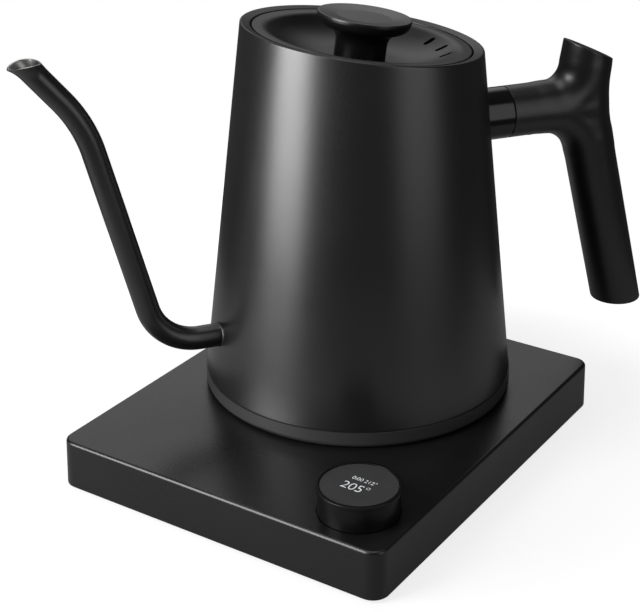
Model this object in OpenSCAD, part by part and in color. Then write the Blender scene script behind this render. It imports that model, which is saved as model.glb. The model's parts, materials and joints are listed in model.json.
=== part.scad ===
// Gooseneck kettle that stands on a flat heating base with a push-and-turn dial.
// Frame: the origin is the centre of the base's footprint, on the surface it stands on.
// +X runs along the front edge towards the dial, +Y to the cord inlet at the back, +Z up.
// The kettle has its own frame: its upright axis is Z, its handle points to +X, its spout
// to -X, and Z starts at the top face of the base. The lid's frame starts in the rim plane.

/* [Base] */
// Width of the base along its front edge
base_w = 160; // [150:1:190]
// Depth of the base from front to back
base_d = 191; // [180:1:220]
// Height of the base housing above its feet
base_h = 21.6; // [21:0.1:26]
// How far each side leans out towards the bottom
base_draft = 0.8; // [0.2:0.1:1.5]
// Radius of the upright corners
base_corner_r = 6.5; // [5:0.5:12]
// Radius of the rounded top edge
base_edge_r = 1.6; // [1:0.1:2]
// Wall of the top cover
cover_t = 2.4; // [2:0.1:3]
// Thickness of the bottom plate
floor_t = 2; // [1.6:0.1:2.5]
// Height of the rubber feet
foot_h = 1.5; // [1:0.1:3]
// Diameter of the rubber feet
foot_d = 14; // [10:1:18]
// Distance of each foot's centre from the two sides next to it
foot_inset = 16; // [14:1:22]
// Distance of the cover screws from the left and right sides
screw_inset = 12; // [10:0.5:14]
// Distance of the cover screws from the front and back sides
screw_setback = 60; // [56:1:64]

/* [Dial] */
// Outer radius of the dial's top edge
dial_r = 17.4; // [16.5:0.1:19]
// Height of the dial above the base
dial_h = 12.1; // [10:0.1:15]
// How far the dial's top edge stands out from its wall
dial_lip = 0.7; // [0.3:0.1:1]
// Width of the rim round the display glass
dial_rim_w = 1.55; // [1.2:0.05:2]
// Distance of the dial's axis from the right side
dial_inset_x = 23.4; // [22:0.1:30]
// Distance of the dial's axis from the front side
dial_inset_y = 23; // [22:0.1:30]
// How far the dial goes down when it is pressed
dial_travel = 0.8; // [0.5:0.1:1]
// Thickness of the display glass
glass_t = 1.2; // [0.8:0.1:1.6]
// Outer radius of the carrier that the dial ring turns on
carrier_r = 13.4; // [12.8:0.1:13.6]

/* [Kettle body] */
// Distance of the kettle's axis right of the base's centre
kettle_x = -5.6; // [-10:0.1:10]
// Distance of the kettle's axis behind the base's centre
kettle_y = 26; // [18:0.1:32]
// Direction of the handle, turned from +X
kettle_turn = 54.5; // [0:0.5:90]
// Outer radius of the body at its bottom seam
body_bottom_r = 69.3; // [67:0.1:75]
// Outer radius of the body where the rim plane crosses the axis
body_top_r = 51.4; // [50:0.1:56]
// Height of the rim plane on the axis, above the base's top face
rim_h = 160.4; // [155:0.1:190]
// Tilt of the rim plane, rising towards the spout
rim_tilt = 7.67; // [0:0.01:10]
// Wall of the steel body
body_t = 1.2; // [0.8:0.1:1.6]
// Thickness of the rolled rim
rim_t = 1.4; // [1:0.1:2]
// Depth of the tube that guides the lid
neck_depth = 17; // [17:0.5:24]
// Height of the kettle's inner floor above the base's top face
inner_floor_h = 20; // [19.5:0.1:22]
// Height of the seam between the body and its foot ring
seam_h = 7.6; // [7:0.1:9]
// How far the foot ring stands out from the body
foot_ring_step = 0.4; // [0.2:0.1:1.5]

/* [Spout] */
// Outer radius of the spout tube
spout_r = 5.2; // [4.6:0.1:6]
// Wall of the spout tube
spout_t = 0.8; // [0.6:0.1:1.2]
// Height of the spout's root above the base's top face
spout_root_h = 31.8; // [30:0.1:40]
// Length of the level root between the body and the first bend
spout_root_l = 8.6; // [6:0.1:14]
// Centreline radius of the first bend
spout_bend_1_r = 23.6; // [20:0.1:30]
// Rise of the long straight stretch, from level
spout_rise = 75.7; // [70:0.1:80]
// Length of the long straight stretch
spout_straight_l = 75.9; // [60:0.1:85]
// Centreline radius of the second bend
spout_bend_2_r = 60; // [50:1:90]
// Rise of the spout's end, from level
spout_end_rise = 50.7; // [40:0.5:55]
// Length of the end stretch, up to the middle of the mouth
spout_end_l = 21.1; // [16:0.1:26]
// How much thinner the radius is from the second bend on
spout_taper = 0.2; // [0:0.1:0.8]
// How much wider the radius of the mouth is
spout_flare = 0.9; // [0.6:0.1:1.8]
// Slope of the mouth's plane, down towards its beak
mouth_slope = 5; // [0:0.5:10]

/* [Handle] */
// Radius of the handle's arm and grip
handle_r = 11.6; // [10:0.1:13]
// Height of the arm's axis above the base's top face
arm_h = 117.8; // [112:0.1:124]
// Least distance of the grip's bent axis from the kettle's axis
grip_x = 109.4; // [105:0.1:120]
// Radius of the bend that makes the grip's back hollow
grip_bend_r = 100; // [80:1:140]
// Height of the grip's upright spot above the arm's axis
grip_upright_h = 10.6; // [5:0.1:16]
// Lean of the grip below the arm
grip_lean = 15; // [8:0.1:18]
// Height of the grip's bottom end above the base's top face
grip_bottom_h = 16.5; // [14:0.1:30]
// Height of the grip's top end on its axis, above the arm's axis
grip_top_h = 25; // [22:0.1:32]
// Slope of the top end, falling outwards
grip_top_slope = 24; // [15:0.5:30]
// Centreline radius of the bend between the arm and the grip's top
arm_bend_up_r = 19.5; // [16:0.5:23]
// Centreline radius of the bend between the arm and the grip
arm_bend_down_r = 28; // [22:0.5:30]
// Length of the glossy collar between the body and the arm
ferrule_l = 13.2; // [12:0.1:18]
// Radius of the steel tang inside the arm
tang_r = 7; // [6:0.1:7.5]

/* [Lid] */
// Radius of the lid
lid_r = 46.7; // [45.5:0.1:47]
// Gap between the lid and the rim all round
lid_gap = 0.5; // [0.3:0.1:0.8]
// How far the rim's bevel and the lid's edge lie below the rim plane
lid_drop = 0.9; // [0.5:0.1:1.2]
// Width of the level lip round the lid's dish
lid_lip_w = 5.5; // [4:0.1:7]
// Depth of the dish at the knob's foot, below the rim plane
dish_depth = 9.4; // [8:0.1:10]
// Thickness of the lid shell
lid_t = 2; // [1.6:0.1:2.2]
// Radius of the knob's neck
knob_neck_r = 11; // [9:0.1:12]
// Radius of the knob's top
knob_r = 20; // [18:0.1:22]
// Height of the knob's top above the rim plane
knob_h = 8.3; // [7.5:0.1:12]
// Number of steam vents
vent_count = 3; // [2:1:4]
// Distance of the vents from the lid's axis
vent_r = 36; // [34:0.5:37]
// Turn of the middle vent from the handle's direction
vent_turn = -6.6; // [-20:0.1:20]

/* [Hidden] */
$fn = 96;

coat = "#1d1d1f";
satin = "#232325";
gloss = "#101012";
steel = "#b4b6b8";
brass_yellow = "#c9a24a";
rubber_black = "#161616";
silicone = "#3a3a3c";
board_green = "#1f5a3a";
lead_red = "#7a2a22";

// Overshoot of every cutting shape past the face that it cuts
cut = 1;
// Gap between pieces that pass each other
gap = 0.3;
// Radial play of a piece that slides or turns in another
play = 0.08;
// Length by which a rod runs into a bend, and how much slimmer the bend is
lap = 0.5;
bend_step = 0.05;
// Overlap that joins two shapes of one piece
sliver = 0.01;
// Length that reaches past everything
far = 400;

// Base, from the surface upwards
floor_top = foot_h + floor_t;
base_top = foot_h + base_h;
cover_under = base_top - cover_t;
wall_gap = 0.2;
inner_w = base_w - 2 * cover_t;
inner_d = base_d - 2 * cover_t;
inner_corner_r = base_corner_r - cover_t;
screw_r = 1.5;
screw_play = 0.2;
screw_head_r = 2.8;
screw_head_h = 1.6;
small_screw_r = 1.2;
small_head_r = 2.4;
small_head_h = 1.3;
boss_r = 4;
post_r = 3;
post_h = 2;
board_t = 1.6;
board_z = floor_top + post_h;
board_top = board_z + board_t;
board_corner_r = 2;
board_screw_inset = 3.5;

// Power board, in the front left of the base
power_w = 72;
power_d = 44;
power_x = -(base_w / 2 - cover_t - power_w / 2 - 14);
power_y = -(base_d / 2 - cover_t - power_d / 2 - 8);
post_edge = 5;
relay_room = 2.6;
relay_size = [19, 15, cover_under - board_top - relay_room];
relay_at = [power_x + 1, power_y - 5];
transformer_room = 1.4;
transformer_size = [24, 20, cover_under - board_top - transformer_room];
transformer_at = [power_x - power_w / 3, power_y - 10];
buzzer_r = 6;
buzzer_h = 7;
buzzer_hole_r = 0.8;
buzzer_at = [power_x + 22, power_y - 13];

// Cord inlet in the back wall
gland_r = 6;
gland_z = (floor_top + cover_under) / 2;
gland_bore_r = 3.3;
gland_l = 16;
gland_collar_r = gland_r + 1.4;
gland_collar_l = 2;

// Wires
lead_r = 1.1;
lead_bend_r = 4;
lead_side = 2.4;
lead_from = [kettle_x - 12, kettle_y - 11];
lead_end_y = power_y + power_d / 2 - 3;
lead_z = board_top + 2;
ribbon_w = 12;
ribbon_t = 0.6;
ribbon_rise = 3;

// Dial, on its own upright axis
dial_x = base_w / 2 - dial_inset_x;
dial_y = -(base_d / 2 - dial_inset_y);
dial_wall_r = dial_r - dial_lip;
dial_top = base_top + dial_h;
glass_sink = 0.35;
glass_top = dial_top - glass_sink;
glass_gap = 0.15;
flange_t = 1;
pocket_r = dial_r - dial_rim_w;
flange_top = glass_top - glass_t;
pocket_floor = flange_top - flange_t - gap;
recess_r = dial_wall_r + 0.4;
recess_depth = dial_travel + 0.4;
dial_sink = 0.1;
dial_bottom = base_top - dial_sink;
lip_h = 1.4;
switch_w = 6;
switch_h = 3.2;
button_r = 1.7;
button_h = 1.1;
switch_top = board_top + switch_h + button_h;
switch_pip_gap = 0.3;
carrier_bottom = switch_top + dial_travel + switch_pip_gap;
carrier_wall = 1.4;
control_w = 40;
sensor_w = 3;
sensor_h = 1;
encoder_w = 4.3;
module_t = 1.4;
module_board_t = 1.2;
module_window = [16, 10];
bush_r = carrier_r + 2;
magnet_h = 2.2;
magnet_r_in = carrier_r + 0.6;
magnet_t = 1.8;
spring_r = 9;
spring_wire_r = 0.45;
spring_turns = 4;
spring_sides = 8;
spring_steps = 16;

// Kettle's connector, on the kettle's axis
flange_r = 22;
flange_h = 1.2;
barrel_r = 19.6;
barrel_drop = 9;
nose_r = 14;
nose_h = 5;
tip_r = 8;
tip_h = 10;
pin_r = 2.2;
pin_h = 13;
nut_w = 5;
nut_h = 3;
// Contact rings: height, depth and lowest edges
ring_h = 1.8;
outer_ring_t = 1.5;
inner_ring_t = 1.3;
outer_ring_z = 2.4;
inner_ring_z = 6.4;
cavity_play = 1.2;
cavity_rise = 0.6;
pin_play = 0.6;
contact_h = 1.2;
contact_z_step = 0.4;
socket_r = 23.2;
socket_bottom = flange_h + 0.5;
socket_flange_r = 27;
plate_bottom = 2.2;
plate_t = 2;
plate_top = plate_bottom + plate_t;
socket_flange_z = plate_top + gap;
socket_flange_t = 2;
retainer_z = socket_flange_z + socket_flange_t + gap;
retainer_t = 2;
retainer_r = 34;
retainer_screw_r = 30.5;
retainer_first = 75;
floor_sheet_t = 1.2;
heat_plate_t = 3;
foot_r = body_bottom_r + foot_ring_step;
foot_wall = 2.4;
foot_screw_inset = 8;
foot_screw_circle = foot_r - foot_wall - foot_screw_inset;
foot_screw_count = 3;
foot_screw_first = 30;
foot_screw_l = 6;
boss_small_r = 3.2;
heat_plate_room = 2.3;
heat_plate_r = foot_screw_circle - boss_small_r - heat_plate_room;
floor_bottom = inner_floor_h - floor_sheet_t;
heat_bottom = floor_bottom - heat_plate_t;
socket_top = heat_bottom - gap;
element_shift = 2;
element_r = (retainer_r + heat_plate_r) / 2 - element_shift;
element_tube_r = 3.2;
element_sink = 0.8;
element_z = heat_bottom - element_tube_r + element_sink;
element_gap_angle = 60;
terminal_r = 1.5;
heater_lead_r = 0.8;
terminal_angle = element_gap_angle / 2 + 3;
cutout_r = 4;
cutout_h = 5;
cutout_room = 2.8;
cutout_first = 60;
probe_x = -30;
probe_r = 2.5;
probe_top = inner_floor_h + 7;
probe_flange_r = 5;
probe_flange_t = 1.2;
probe_tail = 5;
seal_r = 4;
seal_lip = 1.2;
seal_lip_t = 0.8;

// Kettle body
body_slope = (body_bottom_r - body_top_r) / (rim_h - seam_h);
function body_r(z) = body_bottom_r - body_slope * (z - seam_h);
cone_top = rim_h + 20;
rim_uphill = body_top_r / (cos(rim_tilt) + body_slope * sin(rim_tilt));
rim_downhill = body_top_r / (cos(rim_tilt) - body_slope * sin(rim_tilt));
lid_off = (rim_downhill - rim_uphill) / 2;
mouth_r = lid_r + lid_gap;
neck_t = 1;
rim_land = 0.8;
rim_bevel_w = body_top_r - rim_land - mouth_r;
foot_gap = 0.3;
foot_edge_r = 2.2;
seam_step = 0.4;

// Spout, in the kettle's XZ plane
root_x = -(body_r(spout_root_h) + spout_root_l);
bend_1 = [root_x, spout_root_h + spout_bend_1_r];
heading_1 = 180 - spout_rise;
heading_2 = 180 - spout_end_rise;
function along(p, heading, l) = [p[0] + l * cos(heading), p[1] + l * sin(heading)];
straight_start = along(bend_1, 90 + heading_1, spout_bend_1_r);
straight_end = along(straight_start, heading_1, spout_straight_l);
bend_2 = along(straight_end, 90 + heading_1, spout_bend_2_r);
end_start = along(bend_2, heading_2 - 90, spout_bend_2_r);
mouth = along(end_start, heading_2, spout_end_l);
flare_l = 6;
flare_reach = flare_l + 12;
flare_slope = spout_flare / flare_l;
flare_start = along(mouth, heading_2, -flare_l);
root_fillet = 1.2;

// Handle, in the kettle's XZ plane
arm_x = body_r(arm_h) + ferrule_l;
lean_centre = [grip_x + grip_bend_r, arm_h + grip_upright_h];
grip_start = along(lean_centre, 180 + grip_lean, grip_bend_r);
grip_top_z = arm_h + grip_top_h;
grip_top_lean = asin((grip_top_z - lean_centre[1]) / grip_bend_r);
grip_top_x = lean_centre[0] - grip_bend_r * cos(grip_top_lean);
grip_over_lean = asin((grip_top_z + handle_r - lean_centre[1]) / grip_bend_r);
grip_l = (grip_start[1] - grip_bottom_h) / cos(grip_lean) + handle_r * tan(grip_lean) + lap;
// The inner bends lie just inside the arm and the grip where they run together
bend_inset = 0.2;
down_z = arm_h - arm_bend_down_r;
up_z = arm_h + arm_bend_up_r;
up_x = lean_centre[0] - sqrt(pow(grip_bend_r + arm_bend_up_r, 2) - pow(up_z - lean_centre[1], 2));
up_last = asin((lean_centre[1] - up_z) / (grip_bend_r + arm_bend_up_r));
down_x = grip_start[0] + ((grip_start[1] - down_z) * sin(grip_lean) - arm_bend_down_r) / cos(grip_lean);
tang_end = grip_x - 14;
// Rods that start inside the body's wall, which cuts them off
inside = 8;
handle_screw_x = arm_x + 12;
handle_screw_r = 2;
handle_screw_head_r = 3.8;
handle_screw_head_h = 2.4;
handle_screw_sink = 0.4;
hex_r = 1.4;
hex_h = 1.2;

// Lid
dish_r = 14;
dish_edge_r = lid_r - lid_lip_w;
dish_rise = dish_depth - lid_drop;
dish_radius = (pow(dish_edge_r - dish_r, 2) + pow(dish_rise, 2)) / (2 * dish_rise);
skirt_t = 2.5;
skirt_bottom = -9;
gasket_h = 4.4;
lid_plate_top = skirt_bottom - gasket_h - 2 * gap;
lid_plate_t = 1.4;
lid_plate_r = mouth_r - 1.2;
gasket_in_r = lid_r - 3.7;
gasket_body_r = lid_r - 1;
rib_h = 1;
rib_inset = 0.8;
wall_r = gasket_in_r - 0.4;
wall_t = 1.4;
hub_r = 6;
lid_screw_r = 2;
lid_screw_head_r = 4;
lid_screw_head_h = 2;
lid_screw_top = 0;
vent_w = 2.4;
vent_l = 5.4;
vent_step = 18;
cap_t = 1.1;
cap_plug_h = 1.5;
cap_plug_r = knob_neck_r + 1;
cap_dish = 0.9;
cap_dish_r = 11.7;
cap_land = 0.8;
knob_turn = 80;
knob_arc = (knob_r - knob_neck_r) / (1 - cos(knob_turn));
knob_edge = 0.6;
knob_steps = 8;
knob_top = knob_h - cap_t;
knob_bend_z = knob_top - knob_edge - knob_arc * sin(knob_turn);

// Helpers

module at_dial() {
    translate([dial_x, dial_y, 0]) children();
}

module at_kettle() {
    translate([kettle_x, kettle_y, base_top]) rotate([0, 0, kettle_turn]) children();
}

module in_lid_frame() {
    translate([0, 0, rim_h]) rotate([0, rim_tilt, 0]) translate([lid_off, 0, 0]) children();
}

module at_lid() {
    at_kettle() in_lid_frame() children();
}

module tube(r_out, r_in, z, h) {
    difference() {
        translate([0, 0, z]) cylinder(r = r_out, h = h);
        translate([0, 0, z - cut]) cylinder(r = r_in, h = h + 2 * cut);
    }
}

module disc(r, z, h) {
    translate([0, 0, z]) cylinder(r = r, h = h);
}

// Round rod in the XZ plane between two points
module rod(from, to, r) {
    run = to - from;
    translate([from[0], 0, from[1]])
        rotate([0, atan2(run[0], run[1]), 0]) cylinder(r = r, h = norm(run));
}

// The same rod, run a little way into the bends at its ends, which are a hair slimmer
module lapped_rod(from, to, r) {
    run = lap * (to - from) / norm(to - from);
    rod(from - run, to + run, r);
}

// Bent round rod in the XZ plane: centre, centreline radius, first angle, last angle
module bend(centre, bend_r, first, last, r) {
    translate([centre[0], 0, centre[1]]) rotate([90, 0, 0]) rotate([0, 0, first])
        rotate_extrude(angle = last - first) translate([bend_r, 0]) circle(r = r);
}

module rounded_rect(w, d, r) {
    square([w - 2 * r, d], center = true);
    square([w, d - 2 * r], center = true);
    for (x = [-1, 1], y = [-1, 1])
        translate([x * (w / 2 - r), y * (d / 2 - r)]) circle(r = r);
}

module corners(x, y) {
    for (sx = [-1, 1], sy = [-1, 1]) translate([sx * x, sy * y, 0]) children();
}

module around(count, r, first = 0) {
    for (i = [0 : count - 1]) rotate([0, 0, first + i * 360 / count]) translate([r, 0, 0]) children();
}

// Block with sides that lean out by lean towards the bottom and a rounded top edge
module drafted_block(w, d, h, r, lean, edge) {
    leaf = 0.01;
    steps = 4;
    hull() {
        linear_extrude(leaf) rounded_rect(w + 2 * lean, d + 2 * lean, r, $fn = 32);
        for (i = [0 : steps]) {
            a = i * 90 / steps;
            inset = edge * (1 - cos(a));
            translate([0, 0, h - edge + edge * sin(a) - leaf])
                linear_extrude(leaf) rounded_rect(w - 2 * inset, d - 2 * inset, r - inset / 2, $fn = 32);
        }
    }
}

// Base

module base_screw_places() {
    corners(base_w / 2 - screw_inset, base_d / 2 - screw_setback) children();
}

module base_cover() color(satin) {
    difference() {
        translate([0, 0, foot_h])
            drafted_block(base_w, base_d, base_h, base_corner_r, base_draft, base_edge_r);
        translate([0, 0, foot_h - cut])
            linear_extrude(base_h - cover_t + cut) rounded_rect(inner_w, inner_d, inner_corner_r);
        translate([kettle_x, kettle_y, 0]) disc(barrel_r + wall_gap, cover_under - cut, cover_t + 2 * cut);
        at_dial() disc(carrier_r + gap, cover_under - cut, cover_t + 2 * cut);
        at_dial() disc(recess_r, base_top - recess_depth, recess_depth + cut);
        gland_place() cylinder(r = gland_r, h = 4 * cover_t, center = true);
    }
    base_screw_places() tube(boss_r, screw_r - screw_play, floor_top, cover_under - floor_top);
}

module base_floor() color(satin) difference() {
    union() {
        translate([0, 0, foot_h]) linear_extrude(floor_t)
            rounded_rect(inner_w - 2 * wall_gap, inner_d - 2 * wall_gap, inner_corner_r - wall_gap);
        board_screw_places() disc(post_r, floor_top, post_h);
    }
    base_screw_places() disc(screw_r, 0, floor_top + cut);
    base_screw_places() disc(screw_head_r + screw_play, 0, foot_h + screw_head_h);
    board_screw_places() disc(small_screw_r, foot_h + floor_t / 2, floor_t + post_h + cut);
}

module base_feet() color(rubber_black)
    corners(base_w / 2 - foot_inset, base_d / 2 - foot_inset) {
        cylinder(d1 = foot_d - 1, d2 = foot_d, h = foot_h);
    }

module base_screws() color(steel) base_screw_places() {
    difference() {
        disc(screw_head_r, foot_h, screw_head_h);
        disc(screw_r / 2, foot_h - cut, cut + screw_head_h / 2, $fn = 6);
    }
    disc(screw_r - screw_play, foot_h + screw_head_h, base_h / 2);
}

module board_screw_places() {
    translate([power_x, power_y, 0]) corners(power_w / 2 - post_edge, power_d / 2 - post_edge) children();
    at_dial() corners(control_w / 2 - board_screw_inset, control_w / 2 - board_screw_inset) children();
}

module board_screws() color(steel) board_screw_places() {
    disc(small_head_r, board_top, small_head_h);
    disc(small_screw_r, floor_top, board_top - floor_top);
}

module board(w, d) {
    translate([0, 0, board_z]) linear_extrude(board_t) rounded_rect(w, d, board_corner_r);
}

module power_board() color(board_green) difference() {
    translate([power_x, power_y, 0]) board(power_w, power_d);
    board_screw_places() disc(small_screw_r, board_z - cut, board_t + 2 * cut);
}

module control_board() color(board_green) difference() {
    at_dial() board(control_w, control_w);
    board_screw_places() disc(small_screw_r, board_z - cut, board_t + 2 * cut);
}

module relay() color("#2b4f8f")
    translate([relay_at[0], relay_at[1], board_top]) cube(relay_size);

module transformer() color("#c8b23c")
    translate([transformer_at[0], transformer_at[1], board_top]) cube(transformer_size);

module buzzer() color(gloss) translate([buzzer_at[0], buzzer_at[1], 0])
    tube(buzzer_r, buzzer_hole_r, board_top, buzzer_h);

module press_switch() color(gloss) at_dial() {
    translate([-switch_w / 2, -switch_w / 2, board_top]) cube([switch_w, switch_w, switch_h]);
    disc(button_r, board_top + switch_h, button_h);
}

// Ring-shaped board under the cover, with two sensors that read the dial's magnet ring
module encoder_board() color(board_green) at_dial() {
    tube(bush_r + wall_gap + encoder_w, bush_r + wall_gap, cover_under - board_t, board_t);
    around(2, bush_r + wall_gap + encoder_w / 2, 45)
        translate([-sensor_w / 2, -sensor_w / 2, cover_under - board_t - sensor_h])
            cube([sensor_w, sensor_w, sensor_h]);
}

module dial_bush() color(satin) at_dial()
    tube(bush_r, carrier_r + play, carrier_bottom - 1, cover_under - carrier_bottom + 1);

module gland_place() {
    translate([0, base_d / 2 - cover_t, gland_z]) rotate([-90, 0, 0]) children();
}

// Rubber bush in the back wall that the mains cord passes through
module cord_gland() color(rubber_black) gland_place() difference() {
    union() {
        translate([0, 0, -gland_l + cover_t]) cylinder(r = gland_r - play, h = gland_l);
        translate([0, 0, -gland_collar_l]) cylinder(r = gland_collar_r, h = gland_collar_l);
    }
    translate([0, 0, -gland_l]) cylinder(r = gland_bore_r, h = 2 * gland_l);
}

// Two mains leads from the connector down and forward to the power board
module mains_leads() color(lead_red) for (side = [-lead_side, lead_side]) {
    top = base_top - barrel_drop;
    bend_y = lead_from[1] - lead_bend_r;
    translate([lead_from[0] + side, lead_from[1], lead_z + lead_bend_r])
        cylinder(r = lead_r, h = top - lead_z - lead_bend_r);
    translate([lead_from[0] + side, bend_y, lead_z + lead_bend_r]) rotate([0, 90, 0])
        rotate_extrude(angle = 90) translate([lead_bend_r, 0]) circle(r = lead_r);
    translate([lead_from[0] + side, lead_end_y, lead_z]) rotate([-90, 0, 0])
        cylinder(r = lead_r, h = bend_y - lead_end_y);
    translate([lead_from[0] + side, lead_end_y, board_top]) cylinder(r = lead_r, h = lead_z - board_top);
}

// Flat cable that joins the two boards
module ribbon_cable() color("#9a9a9a") {
    start = power_x + power_w / 2 - 6;
    stop = dial_x - control_w / 2 + 7;
    y = dial_y + 6;
    translate([start, y, board_top + ribbon_rise]) cube([stop - start, ribbon_w, ribbon_t]);
    for (x = [start, stop - ribbon_t]) translate([x, y, board_top]) cube([ribbon_t, ribbon_w, ribbon_rise]);
}

module connector_housing() color(gloss) translate([kettle_x, kettle_y, base_top]) difference() {
    union() {
        disc(flange_r, 0, flange_h);
        disc(nose_r, 0, nose_h);
        disc(tip_r, 0, tip_h);
        disc(barrel_r, -barrel_drop, barrel_drop);
    }
    tube(nose_r + cut, nose_r - outer_ring_t, outer_ring_z, ring_h);
    tube(tip_r + cut, tip_r - inner_ring_t, inner_ring_z, ring_h);
    disc(pin_r, -barrel_drop - cut, tip_h + barrel_drop + 2 * cut);
}

module connector_nut() color(satin) translate([kettle_x, kettle_y, 0])
    tube(barrel_r + nut_w, barrel_r, cover_under - nut_h, nut_h);

module contact_rings() color(brass_yellow) translate([kettle_x, kettle_y, base_top]) {
    tube(nose_r, nose_r - outer_ring_t, outer_ring_z, ring_h);
    tube(tip_r, tip_r - inner_ring_t, inner_ring_z, ring_h);
}

module earth_pin() color(brass_yellow) translate([kettle_x, kettle_y, base_top]) {
    disc(pin_r, -barrel_drop, pin_h + barrel_drop - pin_r);
    translate([0, 0, pin_h - pin_r]) sphere(r = pin_r);
}

// Dial

module dial_ring() color(gloss) at_dial() difference() {
    union() {
        disc(dial_wall_r, dial_bottom, dial_top - dial_bottom);
        disc(dial_r, dial_top - lip_h, lip_h);
    }
    disc(carrier_r + play, dial_bottom - cut, dial_h + 2 * cut);
    disc(pocket_r, pocket_floor, dial_top - pocket_floor + cut);
    tube(magnet_r_in + magnet_t, magnet_r_in, dial_bottom - cut, magnet_h + cut);
}

module magnet_ring() color("#4a4a4e") at_dial()
    tube(magnet_r_in + magnet_t, magnet_r_in, dial_bottom + wall_gap, magnet_h - wall_gap);

module dial_carrier() color(satin) at_dial() difference() {
    union() {
        disc(carrier_r, carrier_bottom, flange_top - carrier_bottom);
        disc(pocket_r - gap, flange_top - flange_t, flange_t);
    }
    disc(carrier_r - carrier_wall, carrier_bottom + carrier_wall, dial_top);
}

module display_glass() color("#2c2d30") at_dial() disc(pocket_r - glass_gap, flange_top, glass_t);

module display_module() color(board_green) at_dial() {
    disc(carrier_r - carrier_wall, flange_top - module_t - module_board_t, module_board_t);
    translate([-module_window[0] / 2, -module_window[1] / 2, flange_top - module_t])
        cube([module_window[0], module_window[1], module_t]);
}

// Coil spring as a swept tube of eight sides
module dial_spring() color(steel) at_dial() {
    sides = spring_sides;
    count = spring_turns * spring_steps;
    low = board_top + spring_wire_r;
    high = carrier_bottom - spring_wire_r;
    ring_points = [for (i = [0 : count]) let (a = i * 360 / spring_steps, z = low + (high - low) * i / count)
        for (j = [0 : sides - 1]) let (b = j * 360 / sides, r = spring_r + spring_wire_r * cos(b))
            [r * cos(a), r * sin(a), z + spring_wire_r * sin(b)]];
    walls = [for (i = [0 : count - 1]) for (j = [0 : sides - 1]) let (k = (j + 1) % sides)
        [i * sides + j, (i + 1) * sides + j, (i + 1) * sides + k, i * sides + k]];
    start_cap = [for (j = [0 : sides - 1]) j];
    end_cap = [for (j = [sides - 1 : -1 : 0]) count * sides + j];
    polyhedron(points = ring_points, faces = concat([start_cap, end_cap], walls));
}

// Kettle's underside

module socket_cavity(r, top) {
    disc(r, socket_bottom - cut, top + cavity_rise - socket_bottom + cut);
}

module kettle_socket() color(gloss) translate([kettle_x, kettle_y, base_top]) difference() {
    union() {
        disc(socket_r, socket_bottom, socket_top - socket_bottom);
        disc(socket_flange_r, socket_flange_z, socket_flange_t);
    }
    socket_cavity(nose_r + cavity_play, nose_h);
    socket_cavity(tip_r + cavity_play, tip_h);
    socket_cavity(pin_r + pin_play, pin_h);
}

module socket_contacts() color(brass_yellow) translate([kettle_x, kettle_y, base_top]) {
    tube(nose_r + cavity_play, nose_r + gap, outer_ring_z + contact_z_step, contact_h);
    tube(tip_r + cavity_play, tip_r + gap, inner_ring_z + contact_z_step, contact_h);
}

module foot_screw_places() {
    around(foot_screw_count, foot_screw_circle, foot_screw_first) children();
}

module retainer_screw_places() {
    around(foot_screw_count, retainer_screw_r, retainer_first) children();
}

module foot_ring() color(satin) at_kettle() difference() {
    union() {
        rotate_extrude() {
            polygon([
                [foot_r - foot_wall, foot_gap], [foot_r - foot_edge_r, foot_gap],
                [foot_r, foot_gap + foot_edge_r], [foot_r, seam_h / 2],
                [body_bottom_r + seam_step, seam_h], [foot_r - foot_wall, seam_h]
            ]);
            translate([foot_r - foot_edge_r, foot_gap + foot_edge_r]) circle(r = foot_edge_r);
        }
        tube(foot_r - foot_wall + sliver, socket_r + 2 * gap, plate_bottom, plate_t);
        retainer_screw_places()
            disc(post_r, plate_bottom + plate_t / 2, retainer_z - plate_bottom - plate_t / 2);
    }
    foot_screw_places() disc(screw_r, plate_bottom - cut, plate_t + 2 * cut);
    retainer_screw_places() disc(small_screw_r, plate_bottom + plate_t / 2, far);
}

module foot_screws() color(steel) at_kettle() foot_screw_places() {
    disc(screw_head_r, plate_bottom - screw_head_h, screw_head_h);
    disc(screw_r - screw_play, plate_bottom, plate_t + foot_screw_l);
}

module socket_retainer() color(satin) at_kettle() difference() {
    tube(retainer_r, socket_r + 2 * gap, retainer_z, retainer_t);
    retainer_screw_places() disc(screw_r, retainer_z - cut, retainer_t + 2 * cut);
}

module retainer_screws() color(steel) at_kettle() retainer_screw_places() {
    disc(small_head_r, retainer_z + retainer_t, small_head_h);
    disc(small_screw_r, plate_top, retainer_z + retainer_t - plate_top);
}

module element_ring(r) {
    rotate([0, 0, element_gap_angle / 2]) translate([0, 0, element_z])
        rotate_extrude(angle = 360 - element_gap_angle) translate([element_r, 0]) circle(r = r);
}

module element_ends() {
    for (side = [-1, 1]) rotate([0, 0, side * terminal_angle])
        translate([element_r, 0, 0]) children();
}

module heat_plate() color("#9c9fa3") at_kettle() difference() {
    disc(heat_plate_r, heat_bottom, heat_plate_t);
    element_ring(element_tube_r);
    translate([probe_x, 0, 0]) disc(probe_flange_r + gap, heat_bottom - cut, heat_plate_t + 2 * cut);
}

module heating_element() color("#8a8478") at_kettle() {
    element_ring(element_tube_r);
    element_ends() disc(terminal_r, retainer_z, element_z - retainer_z);
}

module heater_leads() color(lead_red) at_kettle() {
    z = retainer_z + retainer_t + heater_lead_r;
    element_ends() translate([-terminal_r, 0, z]) rotate([0, -90, 0])
        cylinder(r = heater_lead_r, h = element_r - retainer_r + heater_lead_r);
}

module thermal_cutouts() color("#c7c9cb") at_kettle()
    around(2, element_r - element_tube_r - cutout_room - cutout_r, cutout_first)
        disc(cutout_r, heat_bottom - cutout_h, cutout_h);

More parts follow.
